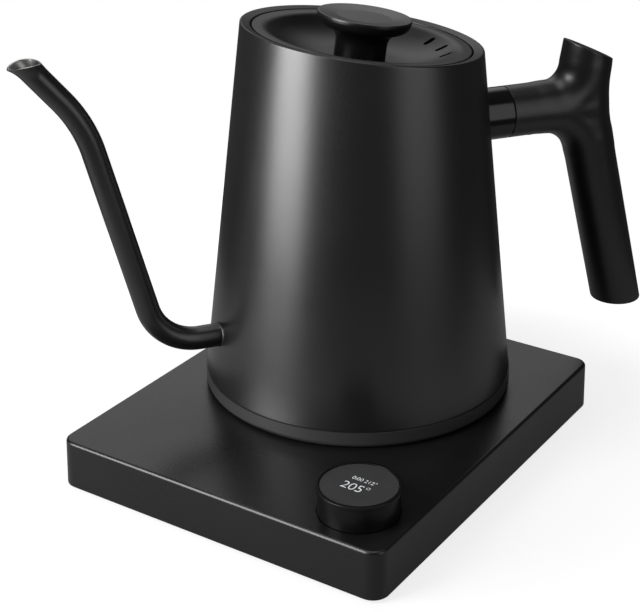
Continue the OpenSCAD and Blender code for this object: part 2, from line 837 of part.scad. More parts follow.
module temperature_probe() color(steel) at_kettle() translate([probe_x, 0, 0]) {
    disc(probe_flange_r, floor_bottom - probe_flange_t, probe_flange_t);
    disc(probe_r, floor_bottom - probe_tail, probe_top - probe_r - floor_bottom + probe_tail);
    translate([0, 0, probe_top - probe_r]) sphere(r = probe_r);
}

module probe_seal() color(silicone) at_kettle() translate([probe_x, 0, 0]) {
    tube(seal_r, probe_r, floor_bottom, floor_sheet_t);
    tube(seal_r + seal_lip, probe_r, inner_floor_h, seal_lip_t);
}

module kettle_floor() color(steel) at_kettle() difference() {
    union() {
        translate([0, 0, floor_bottom]) cylinder(
            r1 = body_r(floor_bottom) - body_t, r2 = body_r(inner_floor_h) - body_t, h = floor_sheet_t);
        foot_screw_places() disc(boss_small_r, plate_top, floor_bottom - plate_top + floor_sheet_t / 2);
    }
    foot_screw_places() disc(screw_r - screw_play, plate_top - cut, foot_screw_l + 2 * cut);
    translate([probe_x, 0, 0]) disc(seal_r, floor_bottom - cut, floor_sheet_t + 2 * cut);
}

// Kettle's body

module body_cone(inset, below = 0) {
    low = seam_h - below;
    translate([0, 0, low])
        cylinder(r1 = body_r(low) - inset, r2 = body_r(cone_top) - inset, h = cone_top - low);
}

// Everything from depth below the rim plane upwards, or downwards
module above_rim(depth) {
    translate([0, 0, rim_h]) rotate([0, rim_tilt, 0])
        translate([-far / 2, -far / 2, -depth]) cube([far, far, far / 2]);
}

module below_rim(depth) {
    translate([0, 0, rim_h]) rotate([0, rim_tilt, 0])
        translate([-far / 2, -far / 2, -far / 2 - depth]) cube([far, far, far / 2]);
}

module kettle_body() color(coat) at_kettle() difference() {
    body_cone(0);
    body_cone(body_t, cut);
    above_rim(rim_t);
    spout_root(spout_r);
}

// Bevelled rim and the tube below it that guides the lid
module rim_collar() color(coat) at_kettle() difference() {
    union() {
        difference() {
            body_cone(0);
            above_rim(0);
            below_rim(rim_t);
        }
        in_lid_frame() disc(mouth_r + neck_t, -neck_depth, neck_depth - rim_t / 2);
    }
    in_lid_frame() disc(mouth_r, -neck_depth - cut, neck_depth + far / 4);
    in_lid_frame() translate([0, 0, -lid_drop])
        cylinder(r1 = mouth_r, r2 = mouth_r + 3 * rim_bevel_w, h = 3 * lid_drop);
}

// Spout

module spout_root(r) {
    lapped_rod([inside - body_r(spout_root_h), spout_root_h], [root_x, spout_root_h], r);
}

module spout_cone(at, heading, l, r1, r2) {
    translate([at[0], 0, at[1]]) rotate([0, 90 - heading, 0]) translate([0, 0, -lap])
        cylinder(r1 = r1, r2 = r2, h = l + 2 * lap);
}

module spout_sweep(r) {
    tip_r = r - spout_taper;
    spout_root(r);
    bend(bend_1, spout_bend_1_r, 90 + heading_1, 270, r - bend_step);
    spout_cone(straight_start, heading_1, spout_straight_l, r, tip_r);
    bend(bend_2, spout_bend_2_r, heading_1 - 90, heading_2 - 90, tip_r - bend_step);
    lapped_rod(end_start, flare_start, tip_r);
    spout_cone(flare_start, heading_2, flare_reach, tip_r - bend_step, tip_r + flare_slope * flare_reach);
}

module spout_tube() color(coat) at_kettle() difference() {
    union() {
        difference() {
            spout_sweep(spout_r);
            body_cone(body_t);
        }
        difference() {
            translate([-body_r(spout_root_h) + body_t, 0, spout_root_h]) rotate([0, -90, 0])
                rotate_extrude() difference() {
                    square([spout_r + root_fillet, root_fillet + body_t]);
                    translate([spout_r + root_fillet, root_fillet + body_t]) circle(r = root_fillet);
                }
            body_cone(0);
        }
    }
    spout_sweep(spout_r - spout_t);
    translate([mouth[0], 0, mouth[1]]) rotate([0, -mouth_slope, 0])
        translate([-far / 2, -far / 2, 0]) cube([far, far, far]);
}

// Handle

module handle_bracket() color(steel) at_kettle() difference() {
    rod([body_r(arm_h) - inside, arm_h], [tang_end, arm_h], tang_r);
    body_cone(0);
    translate([handle_screw_x, 0, arm_h - handle_r])
        cylinder(r = handle_screw_r, h = handle_r + 2 * cut);
}

module handle_ferrule() color(gloss) at_kettle() difference() {
    rod([body_r(arm_h) - inside, arm_h], [arm_x, arm_h], handle_r);
    rod([body_r(arm_h) - inside - cut, arm_h], [arm_x + cut, arm_h], tang_r);
    body_cone(0);
}

module grip_shape() {
    bend(lean_centre, grip_bend_r, 180 - grip_over_lean, 180 + grip_lean, handle_r - bend_step);
    lapped_rod(grip_start, along(grip_start, grip_lean - 90, grip_l), handle_r);
    rod([arm_x, arm_h], [grip_x, arm_h], handle_r);
    bend([up_x, up_z], arm_bend_up_r, 270, 360 + up_last, handle_r - bend_inset);
    bend([down_x, down_z], arm_bend_down_r, grip_lean, 90, handle_r - bend_inset);
}

module handle_grip() color(satin) at_kettle() difference() {
    intersection() {
        grip_shape();
        translate([arm_x, -far / 2, grip_bottom_h]) cube([far, far, far]);
        translate([grip_top_x, 0, grip_top_z]) rotate([0, grip_top_slope, 0])
            translate([-far / 2, -far / 2, -far]) cube([far, far, far]);
    }
    rod([arm_x - cut, arm_h], [tang_end, arm_h], tang_r);
    translate([handle_screw_x, 0, arm_h - handle_r - cut]) cylinder(r = handle_screw_r, h = handle_r);
    translate([handle_screw_x, 0, arm_h - handle_r - cut])
        cylinder(r = handle_screw_head_r, h = handle_screw_head_h + cut);
}

module handle_screw() color(steel) at_kettle() translate([handle_screw_x, 0, arm_h - handle_r]) {
    difference() {
        disc(handle_screw_head_r - screw_play, handle_screw_sink, handle_screw_head_h - handle_screw_sink);
        disc(hex_r, handle_screw_sink - cut, hex_h + cut, $fn = 6);
    }
    disc(handle_screw_r, handle_screw_head_h, handle_r - handle_screw_head_h + 2 * cut);
}

// Lid

module vents(z, h) {
    first = vent_turn - vent_step * (vent_count - 1) / 2;
    for (i = [0 : vent_count - 1]) rotate([0, 0, first + i * vent_step]) translate([vent_r, 0, z])
        linear_extrude(h) {
            square([vent_l - vent_w, vent_w], center = true);
            for (x = [-1, 1]) translate([x * (vent_l - vent_w) / 2, 0]) circle(d = vent_w);
        }
}

module dish_profile(extra) {
    translate([dish_r, dish_radius - dish_depth]) circle(r = dish_radius + extra);
    translate([0, -dish_depth - extra]) square([dish_r, 2 * dish_depth]);
}

module lid_shell() color(satin) at_lid() difference() {
    rotate_extrude() difference() {
        union() {
            intersection() {
                translate([0, -dish_depth - lid_t]) square([lid_r - skirt_t, dish_depth + lid_t - lid_drop]);
                dish_profile(lid_t);
            }
            translate([lid_r - skirt_t - sliver, skirt_bottom])
                square([skirt_t + sliver, -lid_drop - skirt_bottom]);
        }
        dish_profile(0);
    }
    vents(-dish_depth - lid_t, dish_depth + lid_t);
    disc(lid_screw_r, -dish_depth - lid_t - cut, lid_t + 2 * cut);
}

module lid_plate() color(steel) at_lid() difference() {
    union() {
        disc(lid_plate_r, lid_plate_top - lid_plate_t, lid_plate_t);
        disc(hub_r, lid_plate_top, -dish_depth - lid_t - lid_plate_top);
        tube(wall_r, wall_r - wall_t, lid_plate_top, gasket_h);
    }
    vents(lid_plate_top - lid_plate_t - cut, lid_plate_t + 2 * cut);
    disc(lid_screw_r, lid_plate_top - lid_plate_t - cut, gasket_h + far / 4);
}

// Round seal with two soft ribs that run in the kettle's neck
module lid_gasket() color(silicone) at_lid() {
    low = lid_plate_top + gap;
    rotate_extrude() {
        translate([gasket_in_r, low]) square([gasket_body_r - gasket_in_r, gasket_h]);
        for (rib = [rib_inset, gasket_h - rib_inset])
            translate([gasket_body_r, low + rib - rib_h / 2])
                square([mouth_r - play - gasket_body_r, rib_h]);
    }
}

module knob_profile() {
    flare = [for (i = [0 : knob_steps]) let (a = knob_turn * i / knob_steps)
        [knob_neck_r + knob_arc * (1 - cos(a)), knob_bend_z + knob_arc * sin(a)]];
    polygon(concat([[0, -dish_depth], [knob_neck_r, -dish_depth]], flare,
        [[knob_r, knob_top], [0, knob_top]]));
}

module lid_knob() color(satin) at_lid() difference() {
    rotate_extrude() knob_profile();
    disc(cap_plug_r, knob_top - cap_plug_h, cap_plug_h + cut);
    disc(lid_screw_r, -dish_depth - cut, dish_depth + lid_screw_top + cut);
}

module knob_cap() color(satin) at_lid() difference() {
    union() {
        disc(knob_r, knob_top, cap_t);
        disc(cap_plug_r, knob_top - cap_plug_h, cap_plug_h);
    }
    translate([0, 0, knob_h - cap_dish])
        cylinder(r1 = cap_dish_r, r2 = 2 * (knob_r - cap_land) - cap_dish_r, h = 2 * cap_dish);
}

module lid_screw() color(steel) at_lid() {
    low = lid_plate_top - lid_plate_t;
    difference() {
        disc(lid_screw_head_r, low - lid_screw_head_h, lid_screw_head_h);
        disc(hex_r, low - lid_screw_head_h - cut, hex_h + cut, $fn = 6);
    }
    disc(lid_screw_r, low, lid_screw_top - low);
}

base_cover();
base_floor();
base_feet();
base_screws();
connector_housing();
connector_nut();
contact_rings();
earth_pin();
power_board();
relay();
transformer();
buzzer();
control_board();
press_switch();
encoder_board();
dial_bush();
board_screws();
cord_gland();
mains_leads();
ribbon_cable();
dial_ring();
magnet_ring();
dial_carrier();
display_glass();
display_module();
dial_spring();
kettle_socket();
socket_contacts();
kettle_body();
rim_collar();
kettle_floor();
heat_plate();
heating_element();
heater_leads();
thermal_cutouts();
temperature_probe();
probe_seal();
socket_retainer();
retainer_screws();
foot_ring();
foot_screws();
spout_tube();
handle_bracket();
handle_ferrule();
handle_grip();
handle_screw();
lid_gasket();
lid_shell();
lid_plate();
lid_knob();
knob_cap();
lid_screw();
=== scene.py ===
"""Surfaces, fine shapes, light and camera of a gooseneck kettle on its heating base."""

import json
import math
from types import SimpleNamespace

import bmesh
import bpy
import numpy as np
from bpy.props import FloatProperty, FloatVectorProperty, IntProperty, PointerProperty, StringProperty
from mathutils import Matrix, Vector


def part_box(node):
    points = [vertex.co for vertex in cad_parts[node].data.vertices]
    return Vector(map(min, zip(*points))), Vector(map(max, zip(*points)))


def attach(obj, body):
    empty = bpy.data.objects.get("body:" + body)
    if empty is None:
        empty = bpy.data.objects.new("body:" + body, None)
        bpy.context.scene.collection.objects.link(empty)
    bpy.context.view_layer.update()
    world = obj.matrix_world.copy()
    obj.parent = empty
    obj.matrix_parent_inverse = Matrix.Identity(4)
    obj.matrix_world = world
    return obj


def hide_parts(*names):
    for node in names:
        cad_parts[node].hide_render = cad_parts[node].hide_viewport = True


bl_info = {
    "name": "Gooseneck Kettle",
    "version": (1, 0, 0),
    "blender": (4, 5, 0),
    "location": "3D View > Sidebar > Kettle",
    "description": "Builds the finished surfaces of a gooseneck kettle and its heating base",
    "category": "Add Mesh",
}

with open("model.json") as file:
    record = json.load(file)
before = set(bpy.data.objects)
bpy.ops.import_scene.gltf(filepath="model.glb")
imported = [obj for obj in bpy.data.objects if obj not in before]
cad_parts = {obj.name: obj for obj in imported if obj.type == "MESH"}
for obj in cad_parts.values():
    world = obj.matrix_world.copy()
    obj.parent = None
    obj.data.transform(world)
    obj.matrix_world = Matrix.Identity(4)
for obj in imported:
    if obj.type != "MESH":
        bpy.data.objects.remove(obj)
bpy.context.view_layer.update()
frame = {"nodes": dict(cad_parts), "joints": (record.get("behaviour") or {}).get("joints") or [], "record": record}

MM = 0.001
TURN = 2 * math.pi

# Metres: depth of a coat's grain
RELIEF = 0.0001

# Millimetres: points this near are one, a cutter's reach past a face, one screw, the grip's mesh and blends
MERGE = 1e-5
CUT = 5
SCREW_HEAD_R, SCREW_HEAD_H, SCREW_R = 2.8, 1.6, 1.3
GRIP_VOXEL = 0.75
GRIP_BLEND = 0.35

# Points round a turned surface and round the spout, and rings along each stretch of the spout
AROUND = 192
SPOUT_AROUND = 64
ROOT_STEPS, LOW_BEND_STEPS, STRAIGHT_STEPS, HIGH_BEND_STEPS, END_STEPS = 10, 28, 20, 24, 48


# Places that the frame gives


def joint(name):
    return next(j for j in frame["joints"] if j["name"] == name)


def axes(origin, z_axis, x_towards):
    """Frame at origin with that Z axis, and X as near x_towards as it can be."""
    z = Vector(z_axis).normalized()
    y = z.cross(Vector(x_towards)).normalized()
    x = y.cross(z)
    return Matrix.Translation(origin) @ Matrix((x, y, z)).transposed().to_4x4()


KETTLE_AT = Vector(joint("kettle_turn")["pos_m"])
BRACKET_LOW, BRACKET_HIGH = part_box("handle_bracket")
HANDLE_WAY = (BRACKET_LOW + BRACKET_HIGH) / 2 - KETTLE_AT
KETTLE = axes(KETTLE_AT, (0, 0, 1), (HANDLE_WAY.x, HANDLE_WAY.y, 0))
LID = axes(joint("lid_turn")["pos_m"], joint("lid_turn")["axis"], HANDLE_WAY)
DIAL_AT = Vector(joint("dial_turn")["pos_m"])
DIAL = Matrix.Translation((DIAL_AT.x, DIAL_AT.y, 0))
LID_IN_KETTLE = KETTLE.inverted() @ LID
BASE_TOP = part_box("base_cover")[1].z


def size(label, words, millimetres):
    return FloatProperty(name=label, description=words, default=millimetres * MM, unit="LENGTH")


def angle(label, words, degrees):
    return FloatProperty(name=label, description=words, default=math.radians(degrees), unit="ROTATION")


def colour(label, words, rgb):
    return FloatVectorProperty(
        name=label, description=words, default=rgb, subtype="COLOR", size=3, min=0, max=1)


def amount(label, words, value):
    return FloatProperty(name=label, description=words, default=value)


class KettleBaseSizes(bpy.types.PropertyGroup):
    width: size("Width", "Width of the base's top face", 160)
    depth: size("Depth", "Depth of the base's top face", 191)
    lean: size("Lean", "How far each side leans out at the bottom", 0.8)
    corner: size("Corner radius", "Radius of the upright corners", 6.5)
    edge: size("Edge radius", "Radius of the top edge", 1.3)
    wall: size("Wall", "Thickness of the cover", 2.4)
    foot_gap: size("Foot height", "Height of the cover's lower edge above the table", 1.5)
    connector_hole: size("Connector hole", "Radius of the hole for the connector", 19.8)
    dial_recess: size("Dial recess", "Radius of the recess round the dial", 17.1)
    dial_recess_depth: size("Dial recess depth", "Depth of the recess round the dial", 1.2)
    dial_hole: size("Dial hole", "Radius of the hole for the dial's carrier", 13.7)
    gland_hole: size("Gland hole", "Radius of the cord gland's hole", 6)
    screw_inset: size("Screw inset", "Distance of the cover screws from the sides", 12)
    screw_setback: size("Screw setback", "Distance of the cover screws from front and back", 60)
    foot_inset: size("Foot inset", "Distance of the feet from the sides", 16)
    foot: size("Foot radius", "Radius of a foot", 7)
    ring_screws: size("Foot ring screws", "Distance of the foot ring's screws from the kettle's axis", 59.3)


class KettleDialSizes(bpy.types.PropertyGroup):
    lip_radius: size("Lip radius", "Outer radius of the dial's lip", 17.4)
    wall_radius: size("Wall radius", "Outer radius of the dial's wall", 16.7)
    lip_height: size("Lip height", "Height of the lip", 1.4)
    top: size("Top", "Height of the dial's top above the base", 12.1)
    rim: size("Rim", "Width of the rim round the glass", 1.55)
    bore: size("Carrier bore", "Radius of the bore for the carrier", 13.55)
    magnet_in: size("Magnet inner radius", "Inner radius of the magnet's groove", 13.99)
    magnet_out: size("Magnet outer radius", "Outer radius of the magnet's groove", 15.81)
    digits: StringProperty(name="Figures", description="Large figures on the display", default="205°")
    small_digits: StringProperty(
        name="Small figures", description="Small line on the display", default="0:00 212°")


class KettleBodySizes(bpy.types.PropertyGroup):
    bottom_radius: size("Bottom radius", "Outer radius at the bottom seam", 69.3)
    top_radius: size("Top radius", "Outer radius where the rim plane crosses the axis", 51.4)
    seam: size("Seam height", "Height of the bottom seam above the base", 7.6)
    rim: size("Rim height", "Height of the rim plane on the axis", 160.4)
    wall: size("Wall", "Thickness of the steel", 1.2)
    mouth: size("Mouth radius", "Radius of the mouth that the lid sits in", 47.2)
    neck: size("Neck depth", "Depth of the tube that guides the lid", 17)
    neck_wall: size("Neck wall", "Thickness of that tube", 1)
    land: size("Rim land", "Width of the level land at the rim's outer edge", 0.8)
    bevel_drop: size("Bevel drop", "How far the bevel falls to the mouth", 0.9)
    edge: size("Rim edge radius", "Radius of the rim's outer edge", 0.7)


class KettleSpoutSizes(bpy.types.PropertyGroup):
    radius: size("Radius", "Outer radius of the tube", 5.2)
    wall: size("Wall", "Thickness of the tube", 0.8)
    root: size("Root height", "Height of the root above the base", 31.8)
    root_length: size("Root length", "Level stretch between body and first bend", 8.6)
    bend_low: size("First bend", "Radius of the first bend", 23.6)
    straight: size("Straight", "Length of the long straight stretch", 75.9)
    bend_high: size("Second bend", "Radius of the second bend", 60)
    end: size("End", "Length of the last stretch", 20.4)
    rise: angle("Rise", "Rise of the straight stretch from level", 75.7)
    end_rise: angle("End rise", "Rise of the last stretch from level", 50.7)
    taper: size("Taper", "How much thinner the radius is before the mouth", 0.2)
    mouth: size("Mouth", "Mean radius of the mouth", 5.6)
    beak: size("Beak", "How much further the mouth reaches at its beak than at its back", 0.4)
    sides: size("Sides", "How much further the mouth reaches at its sides", 0.8)
    raised: size("Raised sides", "How far the mouth's sides rise above its ends", 0.9)
    dip: size("Dip", "How far the beak's tip dips", 0.45)
    flare: size("Flare length", "Length over which the mouth opens", 5.5)
    mouth_slope: angle("Mouth slope", "Slope of the mouth's plane, down towards its beak", 5)
    fillet: size("Fillet", "Radius of the fillet at the root", 0.6)


class KettleHandleSizes(bpy.types.PropertyGroup):
    radius: size("Radius", "Radius of arm and grip", 11.6)
    arm: size("Arm height", "Height of the arm's axis above the base", 117.8)
    ferrule: size("Ferrule length", "Length of the glossy collar", 13.2)
    bore: size("Tang bore", "Radius of the bore for the steel tang", 7.02)
    screw: size("Screw distance", "Distance of the handle's screw from the collar", 12)
    screw_hole: size("Screw recess", "Radius of the recess for that screw", 3.8)
    grip: size("Grip distance", "Least distance of the grip's bent axis from the kettle's axis", 109.4)
    grip_bend: size("Grip bend", "Radius of the bend that makes the grip's back hollow", 100)
    upright: size("Upright spot", "Height of the grip's upright spot above the arm's axis", 10.6)
    top: size("Top height", "Height of the top end above the arm's axis", 25)
    bottom: size("Bottom height", "Height of the bottom end above the base", 16.5)
    lean: angle("Lean", "Lean of the lower grip", 15)
    top_slope: angle("Top slope", "Slope of the top end", 24)
    bend_up: size("Upper blend", "Centreline radius of the blend above the arm", 19.5)
    bend_down: size("Lower blend", "Centreline radius of the blend below the arm", 28)
    edge: size("Edge radius", "Radius of the edges of the two ends", 0.7)


class KettleLidSizes(bpy.types.PropertyGroup):
    radius: size("Radius", "Outer radius of the lid", 46.7)
    drop: size("Drop", "How far the lid's edge lies below the rim plane", 0.9)
    lip: size("Lip", "Width of the level lip", 5.5)
    lip_edge: size("Lip edge", "Radius that joins lip and dish", 8)
    dish: size("Dish depth", "Depth of the dish below the rim plane", 9.4)
    flat: size("Flat radius", "Radius of the dish's flat middle", 14)
    thickness: size("Thickness", "Thickness of the shell", 2)
    skirt: size("Skirt", "Thickness of the skirt", 2.5)
    skirt_bottom: size("Skirt depth", "Depth of the skirt's lower edge", 9)
    neck: size("Neck radius", "Radius of the knob's neck", 11)
    knob: size("Knob radius", "Radius of the knob's top", 20)
    hole: size("Screw hole", "Radius of the hole for the screw in the middle", 2.05)
    knob_turn: angle("Knob turn", "How far the knob's flare turns outwards", 80)
    knob_bowl: size("Knob bowl", "Radius of the round edge above the flare", 4.8)
    plug: size("Plug radius", "Radius of the pocket for the cap's plug", 12)
    knob_top: size("Knob height", "Height of the knob above the rim plane", 8.3)
    cap: size("Cap thickness", "Thickness of the cap's edge", 1.1)
    cap_flat: size("Cap flat radius", "Radius of the flat inside the cap's dish", 11.7)
    cap_dish: size("Cap dish", "Depth of the cap's dish", 0.9)
    vent_radius: size("Vent distance", "Distance of the vents from the lid's axis", 36)
    vent_step: angle("Vent step", "Angle between two vents", 18)
    vent_turn: angle("Vent turn", "Turn of the middle vent from the handle's direction", -6.6)
    vents: IntProperty(name="Vents", description="Number of steam vents", default=3, min=1, max=4)


class KettleLook(bpy.types.PropertyGroup):
    coat: colour("Coat", "Colour of the kettle's coat", (0.0040, 0.0040, 0.0041))
    base: colour("Base", "Colour of the base's coat", (0.0050, 0.0050, 0.0052))
    grip: colour("Grip", "Colour of the grip", (0.0042, 0.0042, 0.0043))
    steel: colour("Steel", "Colour of bare steel", (0.56, 0.55, 0.53))
    background: amount("Background", "Brightness of the background", 1.0)
    sky: amount("Sky", "Strength of the backdrop's soft light", 0.8)
    room: amount("Room", "Brightness of the room in front, beside the backdrop's", 0.06)
    floor: amount("Floor", "Grey of the floor", 0.2)
    # The floor's own white near the object, below the full white further out: painted shade round the object.
    painted_shade_floor_lift: amount("Floor lift", "White of its own that the floor has", 0.80)
    floor_shine: amount("Floor shine", "Share of that white in reflections", 0.16)


def sizes(group):
    return getattr(bpy.context.scene, "kettle_" + group)


def in_mm(group):
    """The group's lengths in millimetres and its other values as they are."""
    holder = sizes(group)
    found = {}
    for key, definition in holder.bl_rna.properties.items():
        if key in ("name", "rna_type"):
            continue
        value = getattr(holder, key)
        found[key] = value / MM if getattr(definition, "unit", "") == "LENGTH" else value
    return SimpleNamespace(**found)


# Meshes, in millimetres until they are placed


def place_mm(place):
    return place @ Matrix.Scale(MM, 4)


def mesh_of(made):
    """Mesh from a bmesh, which is freed."""
    mesh = bpy.data.meshes.new("mesh")
    made.to_mesh(mesh)
    made.free()
    return mesh


def finish_mesh(made, place=None):
    bmesh.ops.remove_doubles(made, verts=made.verts, dist=MERGE)
    bmesh.ops.dissolve_degenerate(made, edges=made.edges, dist=MERGE)
    bmesh.ops.recalc_face_normals(made, faces=made.faces)
    if place is not None:
        bmesh.ops.transform(made, matrix=place_mm(place), verts=made.verts)
    return mesh_of(made)


def in_scene(name, data):
    """New object in the scene with this data."""
    made = bpy.data.objects.new(name, data)
    bpy.context.scene.collection.objects.link(made)
    return made


def baked(holder, *helpers):
    """Plain mesh of an object as its modifiers leave it. It and its helpers are removed."""
    bpy.context.view_layer.update()
    shown = holder.evaluated_get(bpy.context.evaluated_depsgraph_get())
    mesh = bpy.data.meshes.new_from_object(shown)
    for o in (holder, *helpers):
        bpy.data.objects.remove(o)
    return mesh


def skin(rings, loop=False, place=None, second_from=None):
    """Closed mesh through rings of points. loop joins the last ring to the first.

    Faces from ring number second_from on get the second material.
    """
    made = bmesh.new()
    rows = [[made.verts.new(p) for p in ring] for ring in rings]
    pairs = list(zip(rows, rows[1:]))
    if loop:
        pairs.append((rows[-1], rows[0]))
    for k, (low, high) in enumerate(pairs):
        count = len(low)
        for i in range(count):
            j = (i + 1) % count
            face = made.faces.new((low[i], low[j], high[j], high[i]))
            face.material_index = int(second_from is not None and k >= second_from)
    if not loop:
        made.faces.new(reversed(rows[0]))
        made.faces.new(rows[-1])
    return finish_mesh(made, place)


def ring_of(radius, z, steps=AROUND):
    return [
        Vector((radius * math.cos(TURN * i / steps), radius * math.sin(TURN * i / steps), z))
        for i in range(steps)
    ]


def fillet(before, corner, after, radius, steps):
    """Points of an arc that rounds a corner of a flat outline."""
    a, b, c = Vector(before), Vector(corner), Vector(after)
    to_a, to_c = (a - b).normalized(), (c - b).normalized()
    half = to_a.angle(to_c) / 2
    reach = min(radius / math.tan(half), 0.49 * (a - b).length, 0.49 * (c - b).length)
    radius = reach * math.tan(half)
    middle = b + (to_a + to_c).normalized() * radius / math.sin(half)
    start, end = b + to_a * reach - middle, b + to_c * reach - middle
    turn = math.atan2(start.x * end.y - start.y * end.x, start.dot(end))
    points = []
    for k in range(steps + 1):
        t = turn * k / steps
        points.append(middle + Vector((
            start.x * math.cos(t) - start.y * math.sin(t), start.x * math.sin(t) + start.y * math.cos(t))))
    return points


def rounded(corners, steps=5, hold=0.25):
    """Closed outline through (x, z, radius) corners, with points that hold each arc's ends."""
    points = []
    count = len(corners)
    for i, (x, z, radius) in enumerate(corners):
        if radius <= 0:
            points.append(Vector((x, z)))
            continue
        before, after = Vector(corners[i - 1][:2]), Vector(corners[(i + 1) % count][:2])
        arc = fillet(before, (x, z), after, radius, steps)
        room = min(hold, 0.3 * (before - arc[0]).length, 0.3 * (after - arc[-1]).length)
        points.append(arc[0] + (before - arc[0]).normalized() * room)
        points += arc
        points.append(arc[-1] + (after - arc[-1]).normalized() * room)
    return points


def lathe(outline, place, steps=AROUND):
    """Turns a closed outline of (radius, height) points about the Z axis of place."""
    return skin([ring_of(p[0], p[1], steps) for p in outline], loop=True, place=place)


def turned_solid(outline, place, steps=AROUND):
    """Turns an open outline whose two ends lie on the axis."""
    return skin([ring_of(p[0], p[1], steps) for p in outline], place=place)


def disc(radius, low, high, place, steps=96):
    return skin([ring_of(radius, low, steps), ring_of(radius, high, steps)], place=place)


def block(low, high, place):
    corners = [(low[0], low[1]), (high[0], low[1]), (high[0], high[1]), (low[0], high[1])]
    return skin([[Vector((x, y, z)) for x, y in corners] for z in (low[2], high[2])], place=place)


def cut_with(target, *cutters):
    """Takes meshes away from another and returns what is left."""
    holder = in_scene("holder", target)
    knives = [in_scene("knife", cutter) for cutter in cutters]
    for knife in knives:
        take = holder.modifiers.new("cut", "BOOLEAN")
        take.operation = "DIFFERENCE"
        take.solver = "EXACT"
        take.object = knife
    return baked(holder, *knives)


def piece(name, mesh, body, slot, replaces=(), sharp_from=35, look=None):
    """Puts a mesh in the scene as a piece that rides on a body.

    Shading is smooth up to sharp_from degrees. look names the finish where it isn't the slot's.
    """
    mesh.shade_smooth()
    mesh.set_sharp_from_angle(angle=math.radians(sharp_from))
    mesh.name = name
    mesh.materials.clear()
    mesh.materials.append(FINISHES[look or slot])
    made = in_scene(name, mesh)
    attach(made, body)
    if replaces:
        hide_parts(*replaces)


def paint(mesh, faces, look):
    """Gives faces of a piece, by their numbers, a second finish."""
    mesh.materials.append(FINISHES[look])
    for index in faces:
        mesh.polygons[index].material_index = 1


def bezier(a, b, c, steps):
    """Points of a rounded corner from a to c with its control point at b."""
    found = []
    for k in range(steps + 1):
        u = k / steps
        found.append(a * (1 - u) ** 2 + b * 2 * u * (1 - u) + c * u * u)
    return found


# Geometry Nodes: copies of a part on the points of a mesh


def copies_tree():
    """Puts a part on every point of a mesh, each copy turned one step further."""
    tree = bpy.data.node_groups.new("copies on points", "GeometryNodeTree")
    kinds = {"Geometry": "Geometry", "Part": "Object", "Turn per copy": "Float", "Finish": "Material"}
    for name, kind in kinds.items():
        tree.interface.new_socket(name, in_out="INPUT", socket_type="NodeSocket" + kind)
    tree.interface.new_socket("Geometry", in_out="OUTPUT", socket_type="NodeSocketGeometry")
    node = node_maker(tree)
    given = node("NodeGroupInput").outputs
    part = node("GeometryNodeObjectInfo", inputs={"Object": given["Part"]}).outputs["Geometry"]
    index = node("GeometryNodeInputIndex").outputs["Index"]
    turn = combined(node, index, given["Turn per copy"], operation="MULTIPLY")
    way = node("ShaderNodeCombineXYZ", inputs={"Z": turn}).outputs["Vector"]
    spots = node("GeometryNodeInstanceOnPoints", inputs={
        "Points": given["Geometry"], "Instance": part, "Rotation": way}).outputs["Instances"]
    real = node("GeometryNodeRealizeInstances", inputs={"Geometry": spots}).outputs["Geometry"]
    painted = node("GeometryNodeSetMaterial", inputs={"Geometry": real, "Material": given["Finish"]})
    node("NodeGroupOutput", inputs={"Geometry": painted.outputs["Geometry"]})
    return tree


def copies(tree, part, points, turn, slot, place):
    """Plain mesh of copies of a part's mesh at points, with the slot's finish."""
    seed = bpy.data.meshes.new("points")
    seed.from_pydata([Vector(p) for p in points], [], [])
    model, holder = in_scene("part", part), in_scene("copies", seed)
    nodes = holder.modifiers.new("copies", "NODES")
    nodes.node_group = tree
    sockets = {s.name: s.identifier for s in tree.interface.items_tree if s.in_out == "INPUT"}
    nodes[sockets["Part"]] = model
    nodes[sockets["Turn per copy"]] = turn
    nodes[sockets["Finish"]] = FINISHES[slot]
    mesh = baked(holder, model)
    mesh.transform(place_mm(place))
    return mesh


# Finishes


def shader(name):
    """New material with its surface shader, and a function that makes and links nodes."""
    material = bpy.data.materials.new(name)
    material.use_nodes = True
    tree = material.node_tree
    return material, tree.nodes["Principled BSDF"], node_maker(tree), tree.links.new


def node_maker(tree):
    """Function that adds a node with its settings and its inputs, as values or links."""
    def node(kind, **settings):
        made = tree.nodes.new(kind)
        inputs = settings.pop("inputs", {})
        for key, value in settings.items():
            setattr(made, key, value)
        for key, value in inputs.items():
            if isinstance(value, bpy.types.NodeSocket):
                tree.links.new(value, made.inputs[key])
            else:
                made.inputs[key].default_value = value
        return made

    return node


def spread(node, source, low, high, from_low=0.3, from_high=0.7, **settings):
    """A value brought into a range. The range it comes from is a noise's own unless told."""
    return node("ShaderNodeMapRange", **settings, inputs={
        "Value": source, "From Min": from_low, "From Max": from_high,
        "To Min": low, "To Max": high}).outputs["Result"]


def combined(node, first, second, operation="ADD", **settings):
    """Two values added, or brought together by another operation."""
    return node("ShaderNodeMath", operation=operation, inputs={0: first, 1: second}, **settings).outputs[0]


def noise(node, where, scale, detail):
    made = node("ShaderNodeTexNoise", inputs={"Vector": where, "Scale": scale, "Detail": detail})
    return made.outputs["Fac"]


def own_place(node):
    """The piece's own coordinates."""
    return node("ShaderNodeTexCoord").outputs["Object"]


def tones(node, factor, rgb, low, high):
    """Colour between two levels of brightness."""
    ends = {k: (*(min(1.0, c * level) for c in rgb), 1.0) for k, level in ((6, low), (7, high))}
    return node("ShaderNodeMix", data_type="RGBA", inputs={0: factor, **ends}).outputs[2]


def dress(made, tint, rough, height, bump):
    """Links a colour, a roughness and a relief to a new material's surface."""
    material, surface, node, link = made
    link(tint, surface.inputs["Base Color"])
    link(rough, surface.inputs["Roughness"])
    relief = node("ShaderNodeBump", inputs={"Strength": bump, "Distance": RELIEF, "Height": height})
    link(relief.outputs["Normal"], surface.inputs["Normal"])
    return material


